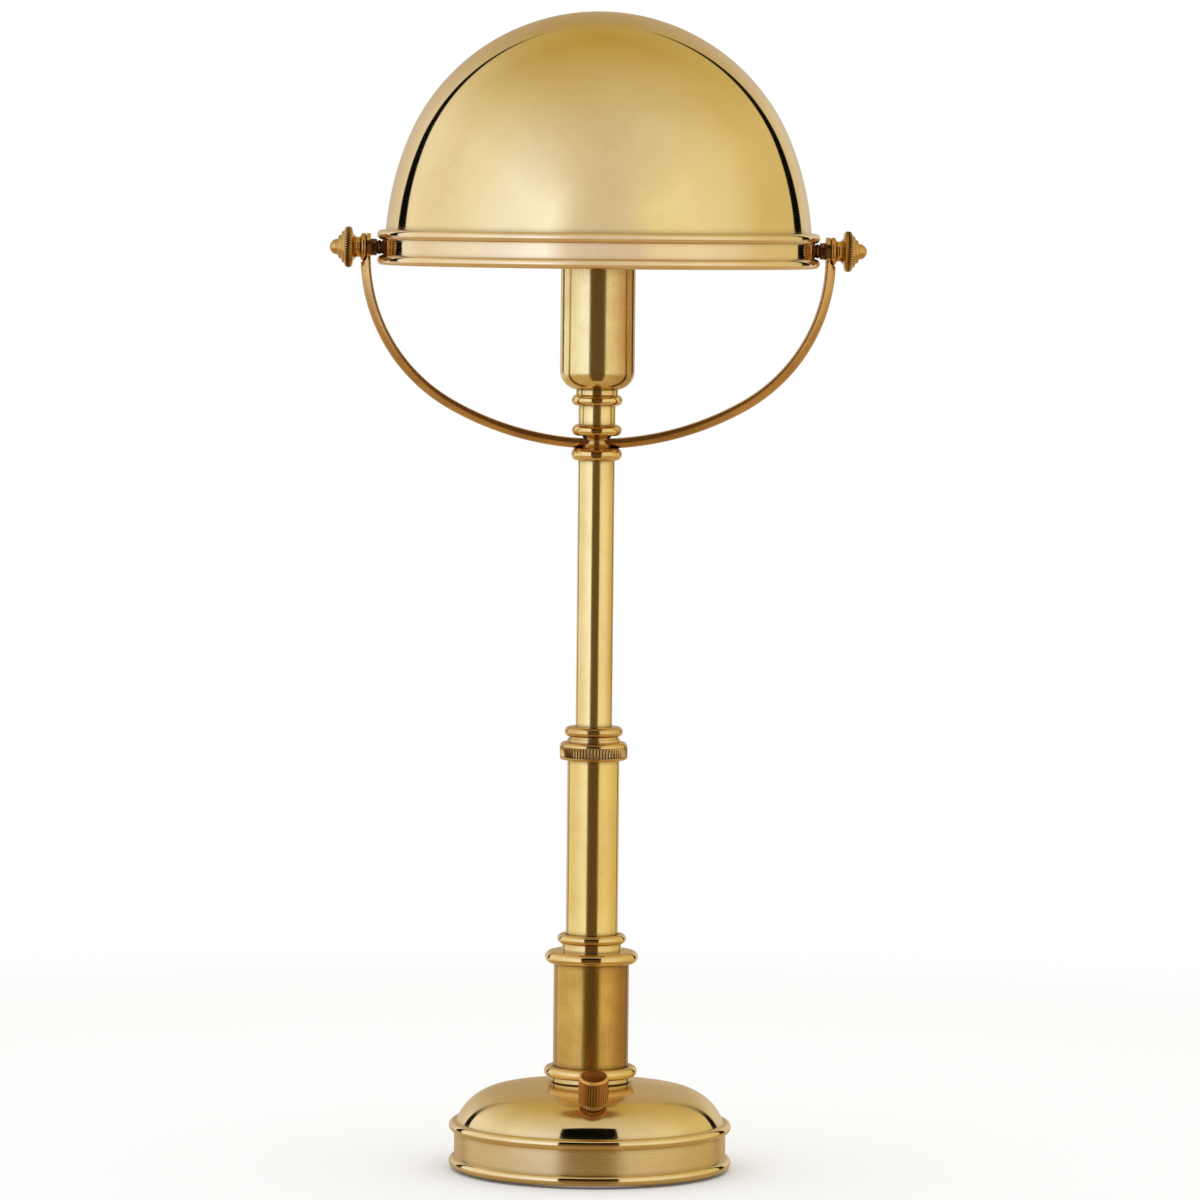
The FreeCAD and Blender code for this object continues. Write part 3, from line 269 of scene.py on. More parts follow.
# ---------------------------------------------------------------- foot shell
# Spun from sheet brass: a straight band between two half-round mouldings, a round shoulder and
# a shallow crown, polished and lacquered. The column's rod and the switch bush pass through it.
def bow(centre_r, centre_z, radius, start, end, count=12):
    """Points in mm along an arc in the outline's plane, angles in degrees."""
    turns = [math.radians(start + (end - start) * i / count) for i in range(count + 1)]
    return [(centre_r + radius * math.cos(t), centre_z + radius * math.sin(t)) for t in turns]


def turned(name, outline, around=160, edge=0.12):
    """Spin a closed outline of (radius, height) in mm round Z, and ease its edges."""
    bpy.ops.object.select_all(action="DESELECT")
    start_r, start_z = outline[0]
    bpy.ops.mesh.primitive_plane_add(size=MM, location=(start_r * MM, 0, start_z * MM))
    piece = bpy.context.object
    piece.name = name
    bpy.ops.object.transform_apply(location=True, rotation=True, scale=True)
    bpy.ops.object.mode_set(mode="EDIT")
    bpy.ops.mesh.merge(type="CENTER")
    for (r0, z0), (r1, z1) in zip(outline, outline[1:] + outline[:1]):
        bpy.ops.mesh.extrude_vertices_move(TRANSFORM_OT_translate={
            "value": ((r1 - r0) * MM, 0, (z1 - z0) * MM)})
    bpy.ops.mesh.select_all(action="SELECT")
    bpy.ops.mesh.remove_doubles(threshold=0.002 * MM)
    bpy.ops.mesh.spin(steps=around, angle=math.tau, center=(0, 0, 0), axis=(0, 0, 1))
    bpy.ops.mesh.select_all(action="SELECT")
    bpy.ops.mesh.remove_doubles(threshold=0.004 * MM)
    bpy.ops.mesh.normals_make_consistent(inside=False)
    bpy.ops.object.mode_set(mode="OBJECT")
    return eased(piece, edge)


def eased(piece, edge):
    """Bevel what is sharper than 35 degrees by edge mm, and shade smooth between creases."""
    if edge:
        bpy.ops.object.modifier_add(type="BEVEL")
        bevel = piece.modifiers[-1]
        bevel.width = edge * MM
        bevel.segments = 2
        bevel.limit_method = "ANGLE"
        bevel.angle_limit = math.radians(35)
        bpy.ops.object.modifier_apply(modifier=bevel.name)
    bpy.ops.object.shade_smooth_by_angle(angle=math.radians(50))
    bpy.ops.object.modifier_add(type="WEIGHTED_NORMAL")
    weighted = piece.modifiers[-1]
    weighted.keep_sharp = True
    bpy.ops.object.modifier_apply(modifier=weighted.name)
    return piece


def laid(piece, rotation, location):
    """Turn a piece made along +Z, set it down in mm and keep the place in its mesh."""
    piece.rotation_euler = rotation
    piece.location = [c * MM for c in location]
    bpy.ops.object.transform_apply(location=True, rotation=True, scale=True)
    return piece


def cut_with(piece, tool, operation="DIFFERENCE"):
    """Boolean a tool piece into another and delete the tool."""
    bpy.ops.object.select_all(action="DESELECT")
    bpy.context.view_layer.objects.active = piece
    piece.select_set(True)
    bpy.ops.object.modifier_add(type="BOOLEAN")
    boolean = piece.modifiers[-1]
    boolean.operation = operation
    boolean.solver = "EXACT"
    boolean.object = tool
    bpy.ops.object.modifier_apply(modifier=boolean.name)
    bpy.data.objects.remove(tool)
    return piece


def rod(name, radius, length, rotation, location):
    """Plain round bar in mm, used to drill with."""
    bpy.ops.object.select_all(action="DESELECT")
    bpy.ops.mesh.primitive_cylinder_add(vertices=64, radius=radius * MM, depth=length * MM)
    bpy.context.object.name = name
    return laid(bpy.context.object, rotation, location)


def seated(piece, body, replaced, made):
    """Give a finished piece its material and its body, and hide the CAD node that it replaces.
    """
    piece.data.materials.clear()
    piece.data.materials.append(made)
    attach(piece, body)
    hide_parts(replaced)
    return piece


def brass(name, clean, tarnished, patina_and_shade_colour, roughness, lengthwise=False, tarnish=0.3,
          line_mm=0.35, relief=0.15, crevice_mm=2.2, wear=0.0, streaks=0.45, metallic=1.0,
          shaded_side_mm=None, satin=None, rotation=(0, 0, 0), location=(0, 0, 0), cloud_mm=26.32,
          mist_mm=2.381):
    """Lacquered brass: tool or brush lines, cloudy tarnish, creases darkened by patina and
    painted shade, a painted shaded side if asked, and bright edges.
    """
    made, tree, shader, spot = finish(name, metallic, roughness)
    own = node(tree, "Mapping", (spot, [c * MM for c in location], rotation),
               vector_type="TEXTURE")
    across, deep, up = node(tree, "SeparateXYZ", (own,)).outputs

    # Lines run along the piece where it was brushed, and round it where it was turned.
    if lengthwise:
        line_place = node(tree, "VectorMath", (own, (1.0, 1.0, 0.012)), operation="MULTIPLY")
    else:
        radius = node(tree, "VectorMath", (node(tree, "CombineXYZ", (across, deep, 0.0)),),
                      operation="LENGTH")
        line_place = node(tree, "CombineXYZ", (radius, 0.0, up))
    lines = node(tree, "TexNoise", {"Vector": line_place, "Scale": 1 / (line_mm * MM),
                                    "Detail": 3.0, "Roughness": 0.65})
    cloud = node(tree, "TexNoise", {"Vector": spot, "Scale": 1 / (cloud_mm * MM),
                                    "Detail": 3.0, "Roughness": 0.55, "Distortion": 0.4})
    mist = node(tree, "TexNoise", {"Vector": spot, "Scale": 1 / (mist_mm * MM),
                                   "Detail": 4.0})

    # Tarnish gathers in clouds, along the lines and in small spots, and a painted shade darkens
    # one side if asked.
    spots = node(tree, "MapRange", (mist, 0.56, 0.74))
    spread = node(tree, "MapRange", (cloud, 0.35, 0.75, 0.0, tarnish))
    streak = node(tree, "MapRange", (lines, 0.4, 0.72, 0.0, tarnish * streaks))
    tarnish_and_painted_shade = node(tree, "Math", (spread, streak), operation="ADD")
    tarnish_and_painted_shade = node(tree, "Math", (spots, tarnish * 0.35, tarnish_and_painted_shade), operation="MULTIPLY_ADD")
    if shaded_side_mm:
        side_from, side_to, side_shade_share = shaded_side_mm
        painted_side_shade = node(tree, "MapRange", (across, side_from * MM, side_to * MM, 0.0, side_shade_share))
        tarnish_and_painted_shade = node(tree, "Math", (tarnish_and_painted_shade, painted_side_shade), operation="ADD")
    colour = node(tree, "Mix", (tarnish_and_painted_shade, linear(clean), linear(tarnished)), data_type="RGBA")
    if wear:
        bent = node(tree, "NewGeometry").outputs["Pointiness"]
        edge = node(tree, "MapRange", (bent, 0.52, 0.6, 0.0, wear))
        colour = node(tree, "Mix", (edge, colour, linear(clean)), data_type="RGBA")
    # Patina and painted shade: the colour goes dark where occlusion finds a crease or a joint
    # between parts.
    closed_in = node(tree, "AmbientOcclusion", {"Distance": crevice_mm * MM}, samples=6)
    crease_patina_and_shade = node(tree, "MapRange", (closed_in.outputs["AO"], 0.3, 0.9, 0.85, 0.0))
    colour = node(tree, "Mix", (crease_patina_and_shade, colour, linear(patina_and_shade_colour)), data_type="RGBA")

    # The polish varies with lines and clouds, is dull in creases, and satin at given heights.
    dull = node(tree, "Math", (lines, cloud), operation="ADD")
    dull = node(tree, "MapRange", (dull, 0.7, 1.35, roughness * 0.8, roughness * 1.35))
    dull = node(tree, "Math", (crease_patina_and_shade, 0.25, dull), operation="MULTIPLY_ADD")
    if satin:
        satin_top = satin[-1][0]
        height = node(tree, "Math", (up, satin_top * MM), operation="DIVIDE")
        skin = node(tree, "ValToRGB", (height,), marks=[
            (mark / satin_top, (more, more, more)) for mark, more in satin])
        dull = node(tree, "Math", (dull, skin), operation="ADD")
    bump = node(tree, "Bump", {"Height": lines, "Strength": relief, "Distance": 0.02 * MM})
    node(tree, shader, {"Base Color": colour, "Roughness": dull, "Normal": bump,
                        "Coat Weight": 0.35, "Coat Roughness": 0.06})
    return made


# Spun brass, buffed and lacquered: close to a mirror, with faint rings from the spinning lathe.
# The band between the mouldings and the crown are left a little satin.
spun_brass = brass("spun_brass_foot", "ECD29C", "D4B06C", "4A2C0C", 0.07, tarnish=0.35,
                   line_mm=1.1, relief=0.03, streaks=0.12,
                   satin=[(5.5, 0.0), (7.5, 0.2), (15.5, 0.2), (17.5, 0.0), (27.0, 0.0),
                          (31.0, 0.12)])
sheet = 1.2
band_radius, moulding = 61.2, 2.4
low_moulding_z, high_moulding_z = 3.5, 19.6
shoulder_r, shoulder_z, shoulder_radius = 37.738, 12.801, 24.3
shoulder_start, shoulder_end = 23, 80.7
crown_z, crown_radius, crown_edge = -217.65, 257.82, 81.5
rod_hole = 5.1
crown_start = 90 - math.degrees(math.asin(rod_hole / crown_radius))
foot = turned("foot_shell", (
    bow(band_radius, low_moulding_z, moulding, -90, 90, 16)
    + [(band_radius, 9.0), (band_radius, 14.0)]
    + bow(band_radius, high_moulding_z, moulding, -90, 112, 18)
    + bow(shoulder_r, shoulder_z, shoulder_radius, shoulder_start, shoulder_end, 36)
    + bow(0, crown_z, crown_radius, crown_edge, crown_start, 26)
    + bow(0, crown_z, crown_radius - sheet, crown_start, crown_edge, 10)
    + bow(shoulder_r, shoulder_z, shoulder_radius - sheet, shoulder_end, shoulder_start, 14)
    + [(band_radius - sheet, 20.5), (band_radius - sheet, 1.1)]), around=288)
switch_axis = (math.radians(23), 0, 0)
switch_seat = (0, -47.233, 35.169)
switch_hole, inlet_hole, inlet_z, drill_depth = 3.6, 4.5, 11.55, 12
cut_with(foot, rod("switch_drill", switch_hole, drill_depth, switch_axis, switch_seat))
cut_with(foot, rod("inlet_drill", inlet_hole, drill_depth, (math.radians(90), 0, 0),
                   (0, band_radius - sheet / 2, inlet_z)))
eased(foot, 0)
seated(foot, "column", "base_shell", spun_brass)

# ---------------------------------------------------------------- inlet and wiring
# Moulded nylon bush and nut line the hole at the back of the band. A screw terminal and two
# sheathed leads stand inside on the weight.
nylon, shader = mottled("black_moulded_nylon", "1F1F20", "131314", 0.4, 0.02, roughness=0.5)
dress(nylon, "cord_inlet_bush", "cord_inlet_nut", "guide_bush")
polyamide, shader = mottled("white_moulded_polyamide", "E6E3DA", "D4D0C4", 0.5, 0.02,
                            roughness=0.45)
dress(polyamide, "terminal_block")
sheath, shader = mottled("brown_lead_sheath", "7A4A1E", "553012", 0.4, 0.02, roughness=0.5)
dress(sheath, "base_leads", "socket_leads")
phenolic, shader = mottled("black_phenolic_moulding", "1B1816", "0E0C0B", 0.3, 0.01,
                           roughness=0.28)
dress(phenolic, "switch_body")

# ---------------------------------------------------------------- threaded rod, collet, nipple
# Plain machined brass that the column hides: bright, unlacquered and a little dull. The rod
# and the nipple clamp the column and the hub, and the collet grips the stem.
machined_brass = brass("machined_brass", "D9B871", "B98F45", "4A3010", 0.25, tarnish=0.5,
                       line_mm=0.3, relief=0.4)
dress(machined_brass, "base_rod", "collet", "yoke_nipple", "screw_shell", "centre_contact")


# ---------------------------------------------------------------- switch nut and knob
# Small knurled nut and a fluted knob with a dished top, turned from bar and browned. They lean
# to the front with the shell's shoulder, and the grooves are darkened by patina and painted
# shade.
def fluted(piece, flutes, around, low, high, depth, slant=0.0):
    """Press grooves between two heights of an upright turned piece; slant in degrees."""
    step = math.tau / around
    per = around // flutes
    levels = sorted({round(v.co.z, 7) for v in piece.data.vertices
                     if low * MM <= v.co.z <= high * MM})
    outer = max(Vector(v.co.xy).length for v in piece.data.vertices)
    for phase in range(1, per):
        sink = depth * math.sin(math.pi * phase / per) ** 0.8
        shape = 1 - sink * MM / outer
        bpy.ops.object.mode_set(mode="OBJECT")
        for v in piece.data.vertices:
            turn = round(math.atan2(v.co.y, v.co.x) / step) % per
            v.select = (turn == phase and low * MM <= v.co.z <= high * MM
                        and Vector(v.co.xy).length > outer * 0.9)
        bpy.ops.object.mode_set(mode="EDIT")
        bpy.ops.transform.resize(value=(shape, shape, 1), center_override=(0, 0, 0))
    bpy.ops.object.mode_set(mode="OBJECT")
    for place, level in enumerate(levels if slant else []):
        for v in piece.data.vertices:
            v.select = abs(v.co.z - level) < 1e-6 and Vector(v.co.xy).length > outer * 0.8
        bpy.ops.object.mode_set(mode="EDIT")
        bpy.ops.transform.rotate(value=math.radians(slant) * place / len(levels),
                                 orient_axis="Z", center_override=(0, 0, 0))
        bpy.ops.object.mode_set(mode="OBJECT")
    return piece


def vertex_select():
    """Pick points, not faces, in edit mode."""
    bpy.ops.object.mode_set(mode="EDIT")
    bpy.ops.mesh.select_mode(type="VERT")
    bpy.ops.mesh.select_all(action="DESELECT")
    bpy.ops.object.mode_set(mode="OBJECT")


# Turned bar, browned and waxed: deeper orange brown, soft gloss, bright where hands rub it.
aged_switch = brass("browned_brass_switch", "E2A850", "B27830", "50290C", 0.34, tarnish=0.45,
                    line_mm=0.4, relief=0.3, crevice_mm=0.5, wear=0.8, metallic=0.6,
                    rotation=switch_axis, location=switch_seat)
# The dished top takes a darker copy of the same finish.
darker_dish_finish = brass("browned_brass_switch_dish", "A46A32", "7C4A1E", "3A1F08", 0.3, tarnish=0.5,
                  line_mm=0.4, relief=0.3, rotation=switch_axis, location=switch_seat)
switch_flutes = 30
nut_around = switch_flutes * 4
nut_r, nut_top = 5.0, 1.9
nut = turned("switch_nut", [(switch_hole, 0.02), (4.7, 0.02), (nut_r, 0.3), (nut_r, 0.45),
                            (nut_r, 1.5), (nut_r, 1.65), (4.75, nut_top),
                            (switch_hole, nut_top)], nut_around, 0)
vertex_select()
fluted(nut, switch_flutes, nut_around, 0.4, 1.55, 0.35)
laid(eased(nut, 0), switch_axis, switch_seat)
seated(nut, "column", "switch_ring_nut", aged_switch)

knob_around = switch_flutes * 6
knob_r, dish_r, dish_low = 6.65, 5.5, 14.7
knob = turned("switch_knob", (
    [(0, 2.1), (6.0, 2.1), (6.4, 2.25)]
    + [(knob_r, z) for z in (2.55, 2.75, 4.5, 7.0, 9.5, 12.0, 13.9, 14.25)]
    + [(6.5, 14.75), (6.1, 15.1), (5.6, 15.3), (5.4, 15.28)]
    + bow(0, 44.75, 29.95, -79.6, -90, 8)), knob_around, 0)
vertex_select()
fluted(knob, switch_flutes, knob_around, 2.7, 13.95, 0.55)
dish_faces = [face.index for face in knob.data.polygons if face.center.z > dish_low * MM
              and Vector(face.center.xy).length < dish_r * MM]
laid(eased(knob, 0), switch_axis, switch_seat)
seated(knob, "switch_knob", "switch_knob", aged_switch)
knob.data.materials.append(darker_dish_finish)
for place in dish_faces:
    knob.data.polygons[place].material_index = 1

# ---------------------------------------------------------------- foot collar
# Turned neck with one large half-round bead. A thin dark gap shows where it stands on the foot,
# and its top takes the wide tube.
turned_brass = brass("turned_brass_beads", "E8C884", "C99B4B", "3A1F07", 0.09, tarnish=0.4,
                     line_mm=0.5, crevice_mm=1.8)
wide_inner, wide_low, wide_top = 15.95, 46.5, 93.68
spigot = wide_inner - 0.1
collar_low, collar_top = 39.7, 51.49
collar = turned("foot_collar", (
    [(rod_hole, collar_low), (17.6, collar_low), (17.9, 40.1), (17.9, 41.0)]
    + bow(18.5, 44.53, 2.5, -103.9, 128.3, 26)
    + [(spigot, wide_low - 0.01), (spigot, collar_top), (rod_hole, collar_top)]), around=192)
seated(collar, "column", "foot_collar", turned_brass)

# ---------------------------------------------------------------- wide tube
# Drawn brass tube with a satin brushed skin along its length, a little duller and deeper in
# colour than the beads. It is clamped between the two collars.
# Its right side takes a painted shade.
wide_brass = brass("brushed_brass_wide_tube", "D0A44C", "9C661A", "4A2B0A", 0.25,
                   lengthwise=True, tarnish=0.5, line_mm=0.3, relief=0.5, crevice_mm=3.0,
                   shaded_side_mm=(7.0, 15.5, 0.75))


def tube(name, inner, low, high, around, rings=()):
    """Drawn tube with a wall of 1 mm, all in mm, and rings of points on its outside."""
    outer = inner + 1.0
    return turned(name, [(inner, low), (outer, low)] + [(outer, z) for z in rings]
                  + [(outer, high), (inner, high)], around=around)


wide = tube("wide_tube", wide_inner, wide_low, wide_top, 192, (58.0, 70.0, 82.0))
seated(wide, "column", "thick_tube", wide_brass)

# ---------------------------------------------------------------- reducing collar
# Turned from bar: a large bead over the wide tube, a flat step, then a small bead that holds
# the middle tube. Its spigot stands inside the wide tube.
middle_inner, middle_low, middle_top = 10.7, 97.02, 189.0
seat_r, seat_z, spigot_low = middle_inner + 1.1, middle_low - 0.01, 87.69
reducer = turned("reducing_collar", (
    bow(18.1, 96.24, 2.8, -114.2, 90, 26) + [(15.5, 99.04), (13.55, 99.06), (13.4, 99.3)]
    + bow(13.35, 104.52, 2.15, -88.7, 136.1, 22)
    + [(seat_r, seat_z), (seat_r - 1.0, seat_z), (seat_r - 1.0, spigot_low),
       (spigot, spigot_low), (spigot, wide_top + 0.01)]), around=192)
seated(reducer, "column", "reducer_collar", turned_brass)

# ---------------------------------------------------------------- middle tube
# Drawn tube, brushed lengthwise and lacquered, brighter than the wide one. It stands on the
# reducing collar and ends inside the clamp nut.
tube_brass = brass("brushed_brass_tubes", "EACA7C", "CC9D42", "40240A", 0.16,
                   lengthwise=True, tarnish=0.4, line_mm=0.3, relief=0.35, crevice_mm=2.5)
middle = tube("middle_tube", middle_inner, middle_low, middle_top, 160, (120.0, 143.0, 166.0))
seated(middle, "column", "mid_tube", tube_brass)

# ---------------------------------------------------------------- clamp nut
# Turned ring with fine slanted flutes between two rounded shoulders, and a small bead above.
# It draws the collet tight round the stem.
aged_clamp = brass("browned_brass_clamp", "E2BC76", "AE7F3E", "3A1F08", 0.18, tarnish=0.4,
                   line_mm=0.4, relief=0.25, crevice_mm=0.6, wear=0.6)
clamp_flutes = 64
clamp_around = clamp_flutes * 4
clamp_r, clamp_bore, stem_bore, inner_step = 15.2, 11.8, 8.33, 194.7
clamp = turned("clamp_nut", (
    [(clamp_bore, 185.33)] + bow(clamp_r - 1.2, 186.53, 1.2, -90, 0, 8)
    + [(clamp_r, z) for z in (186.8, 188.2, 189.6, 191.0, 191.25)]
    + bow(clamp_r - 2.1, 191.3, 2.1, 0, 90, 10) + [(11.2, 193.41), (11.05, 193.6)]
    + bow(10.85, 198.0, 2.25, -84.9, 90, 22)
    + [(stem_bore, 200.25), (stem_bore, inner_step), (clamp_bore, inner_step)]),
    clamp_around, 0)
vertex_select()
fluted(clamp, clamp_flutes, clamp_around, 186.7, 191.1, 0.5, slant=3.4)
eased(clamp, 0)
seated(clamp, "clamp_nut", "clamp_nut", aged_clamp)

# ---------------------------------------------------------------- stem
# The narrowest tube, which slides and turns in the collet. Brushed lengthwise and bright, with
# a painted shade on its right side.
stem_inner, stem_low, stem_top = 7.18, 133.87, 319.84
stem = tube("stem_tube", stem_inner, stem_low, stem_top, 144, (180.0, 227.0, 273.0))
stem_brass = brass("brushed_brass_stem", "F0D490", "C89A48", "40240A", 0.17,
                   lengthwise=True, tarnish=0.3, line_mm=0.3, relief=0.35, crevice_mm=2.5,
                   shaded_side_mm=(5.0, 8.2, 0.5))
seated(stem, "head", "stem_tube", stem_brass)

# ---------------------------------------------------------------- hub collars
# Two turned beads pressed on the tube, one under and one over the yoke's boss. Their spigots
# stand inside the stem and the neck tube, and the nipple runs through both.
nipple_hole = 4.1
boss_low, boss_top = 325.64, 330.99
low_collar = turned("lower_hub_collar", (
    bow(8.5, 322.74, 2.9, -96.3, 90, 24)
    + [(nipple_hole, boss_low - 0.01), (nipple_hole, 311.9), (7.05, 311.9),
       (7.05, stem_top + 0.02)]), around=144)
seated(low_collar, "head", "lower_hub_collar", turned_brass)
high_collar = turned("upper_hub_collar", (
    bow(8.7, 333.49, 2.5, -90, 99.9, 24)
    + [(7.15, 335.95), (7.15, 338.95), (nipple_hole, 338.95), (nipple_hole, boss_top)]),
    around=144)
seated(high_collar, "head", "upper_hub_collar", turned_brass)

# ---------------------------------------------------------------- yoke
# Half-round bar bent into a bow, flat side in, with a waisted boss in the middle and a flat
# eye at each end. Browned, with brighter rubbed edges.
aged_yoke = brass("browned_brass_yoke", "DCAE6A", "8E5E2C", "4A2810", 0.2, tarnish=0.55,
                  line_mm=0.5, relief=0.2, crevice_mm=1.5, wear=0.7)
yoke_inner, yoke_bar = 101.9, 4.5
curve_z, eye_z = 410.488, 414.438
side_centre, side_sweep = 28.45, 60.5
low_centre_z = curve_z + side_centre * math.tan(math.radians(side_sweep))
bpy.ops.object.select_all(action="DESELECT")
bpy.ops.mesh.primitive_circle_add(vertices=40, radius=yoke_bar * MM, fill_type="NGON",
                                  location=(-yoke_inner * MM, 0, eye_z * MM))
yoke = bpy.context.object
yoke.name = "yoke"
bpy.ops.object.transform_apply(location=True, rotation=True, scale=True)
bpy.ops.object.mode_set(mode="EDIT")
bpy.ops.mesh.select_mode(type="VERT")
bpy.ops.mesh.select_all(action="SELECT")
bpy.ops.mesh.bisect(plane_co=(-yoke_inner * MM, 0, eye_z * MM), plane_no=(1, 0, 0),
                    use_fill=False, clear_outer=True)
bpy.ops.mesh.select_all(action="SELECT")
bpy.ops.mesh.extrude_region_move(TRANSFORM_OT_translate={
    "value": (0, 0, (curve_z - eye_z) * MM)})
for centre_x, centre_z, sweep, steps in (
        (-side_centre, curve_z, side_sweep, 36), (0, low_centre_z, 180 - 2 * side_sweep, 44),
        (side_centre, curve_z, side_sweep, 36)):
    bpy.ops.mesh.spin(steps=steps, angle=math.radians(sweep),
                      center=(centre_x * MM, 0, centre_z * MM), axis=(0, 1, 0))
bpy.ops.mesh.extrude_region_move(TRANSFORM_OT_translate={
    "value": (0, 0, (eye_z - curve_z) * MM)})
bpy.ops.mesh.select_all(action="SELECT")
bpy.ops.mesh.remove_doubles(threshold=0.002 * MM)
bpy.ops.mesh.normals_make_consistent(inside=False)
bpy.ops.object.mode_set(mode="OBJECT")
eased(yoke, 0.45)
along_x = (0, math.radians(90), 0)
eye_r, eye_thick, relief_r, relief_long, stud_hole, stud_long = 6.2, 1.7, 6.9, 6, 2.55, 12
for side in (-1, 1):
    eye = rod("yoke_eye", eye_r, eye_thick, along_x,
              (side * (yoke_inner + eye_thick / 2), 0, eye_z))
    cut_with(yoke, rod("yoke_relief", relief_r, relief_long, along_x,
                       (side * (yoke_inner + eye_thick + relief_long / 2), 0, eye_z)))
    cut_with(yoke, eye, "UNION")
    cut_with(yoke, rod("stud_drill", stud_hole, stud_long, along_x,
                       (side * yoke_inner, 0, eye_z)))
boss = turned("yoke_boss", [(0, boss_low), (6.8, boss_low), (6.2, 326.4), (5.7, 327.3),
                            (5.5, 328.3), (5.7, 329.3), (6.2, 330.2), (6.8, boss_top),
                            (0, boss_top)], 96, 0)
cut_with(yoke, boss, "UNION")
cut_with(yoke, rod("nipple_drill", nipple_hole, 8, (0, 0, 0), (0, 0, 328.3)))
eased(yoke, 0)
seated(yoke, "head", "yoke", aged_yoke)

# ---------------------------------------------------------------- neck tube and cup collar
# Short tube over the hub and a turned bead that carries the cup. The nipple clamps them, and
# the bead's spigot stands inside the tube.
neck_inner, neck_low, neck_top = 7.27, 335.97, 344.53
neck = tube("neck_tube", neck_inner, neck_low, neck_top, 144)
seated(neck, "head", "neck_tube", stem_brass)
cup_seat, cup_spigot_low = 351.57, 341.56
cup_ring = turned("cup_collar", (
    bow(9.0, 346.89, 2.45, -107.3, 80.6, 22)
    + [(9.4, cup_seat), (nipple_hole, cup_seat), (nipple_hole, cup_spigot_low),
       (7.15, cup_spigot_low), (7.15, neck_top + 0.02)]), around=144)
seated(cup_ring, "head", "cup_collar", turned_brass)

# ---------------------------------------------------------------- lampholder cup
# Deep drawn cup with a full round corner, polished. The lampholder stands inside, and the mouth
# reaches up into the shade.
# Its right side takes a painted shade.
cup_brass = brass("drawn_brass_cup", "F2DA98", "B07A30", "3A2008", 0.15, tarnish=0.3,
                  lengthwise=True, line_mm=0.4, crevice_mm=2.5, shaded_side_mm=(2.0, 15.5, 0.85))
cup_r, cup_wall, cup_corner, cup_mouth, cup_hole = 16.7, 0.8, 8.5, 409.89, 4.3
corner_r, corner_z = cup_r - cup_corner, 360.09
cup = turned("lampholder_cup", (
    [(cup_hole, 351.6)] + bow(corner_r, corner_z, cup_corner, -90, 0, 18)
    + [(cup_r, 385.0), (cup_r, cup_mouth), (cup_r - cup_wall, cup_mouth)]
    + bow(corner_r, corner_z, cup_corner - cup_wall, 0, -90, 12)
    + [(cup_hole, corner_z - cup_corner + cup_wall)]), around=176)
seated(cup, "head", "socket_cup", cup_brass)

# ---------------------------------------------------------------- lampholder and bulb
# Glazed porcelain holder with a brass screw shell. The bulb has an aluminium cap, clear blown
# glass and coated lamp filaments on a glass mount.
porcelain, shader = mottled("glazed_porcelain", "F1EFE8", "E4E0D4", 2.0, 0.01, roughness=0.12)
shader.inputs["Coat Weight"].default_value = 0.6
dress(porcelain, "lampholder_body", "lampholder_cap")
aluminium, shader = mottled("rolled_aluminium", "CFCFD0", "A9AAAC", 0.5, 0.01, metallic=1.0,
                            roughness=0.3)
dress(aluminium, "bulb_cap", "bulb_tip")
glass, tree, shader, spot = finish("clear_blown_glass", roughness=0.02)
glass_ripple_mm = 16.67
ripple = node(tree, "TexNoise", {"Vector": spot, "Scale": 1 / (glass_ripple_mm * MM),
                                 "Detail": 1.0})
tint = node(tree, "Mix", (ripple, linear("FBFCFA"), linear("F2F6F2")), data_type="RGBA")
node(tree, shader, {"Base Color": tint, "Transmission Weight": 1.0, "IOR": 1.5})
dress(glass, "bulb_glass", "bulb_mount")
phosphor, shader = mottled("coated_filament", "F0C765", "D9A640", 0.3, 0.02, roughness=0.7)
dress(phosphor, "bulb_filaments")

# ---------------------------------------------------------------- shade ring
# Spun brass band with a half-round bead at each edge and a narrow lip turned in under the dome.
# Polished like the dome, a little paler, and soldered to it.
ring_brass = brass("spun_brass_shade_ring", "EDD2A4", "CDA66C", "5A3A12", 0.06, tarnish=0.3,
                   line_mm=1.6, relief=0.02, crevice_mm=2.0, streaks=0.2)
ring_r, ring_bead, ring_low, ring_top = 96.9, 2.2, 408.79, 420.09
lip_r, ring_inner, lip = 93.9, 95.7, 0.8
ring = turned("shade_ring", (
    [(lip_r, 406.6)] + bow(ring_r, ring_low, ring_bead, -90, 90, 16) + [(ring_r, 414.4)]
    + bow(ring_r, ring_top, ring_bead, -90, 90, 16)
    + [(ring_inner, ring_top + ring_bead), (ring_inner, 406.59 + lip), (lip_r, 406.59 + lip)]),
    around=320, edge=0.1)
seated(ring, "shade", "shade_ring", ring_brass)

# ---------------------------------------------------------------- shade dome
# Spun from one sheet and buffed to a mirror: a short skirt in the ring, a slightly tapering
# flank and a round crown.
shade_brass = brass("spun_brass_shade", "E9CE93", "D0AC66", "5A3A12", 0.048, tarnish=0.25,
                    line_mm=2.2, relief=0.02, crevice_mm=3.0, streaks=0.1)
skirt_r, skirt_low, shade_wall = 95.6, 407.4, 0.85
flank_r, flank_z, flank_radius, flank_end = -38.5, 412.19, 134.1, 22.27
dome_z, dome_radius = 427.97, 92.49
dome = turned("shade_dome", (
    [(skirt_r, skirt_low), (skirt_r, 409.8)]
    + bow(flank_r, flank_z, flank_radius, 0, flank_end, 26)
    + bow(0, dome_z, dome_radius, flank_end + 1.4, 90, 52)
    + bow(0, dome_z, dome_radius - shade_wall, 90, flank_end + 2, 36)
    + bow(flank_r, flank_z, flank_radius - shade_wall, flank_end, 0, 14)
    + [(skirt_r - shade_wall, skirt_low)]), around=320, edge=0)
seated(dome, "shade", "shade_dome", shade_brass)

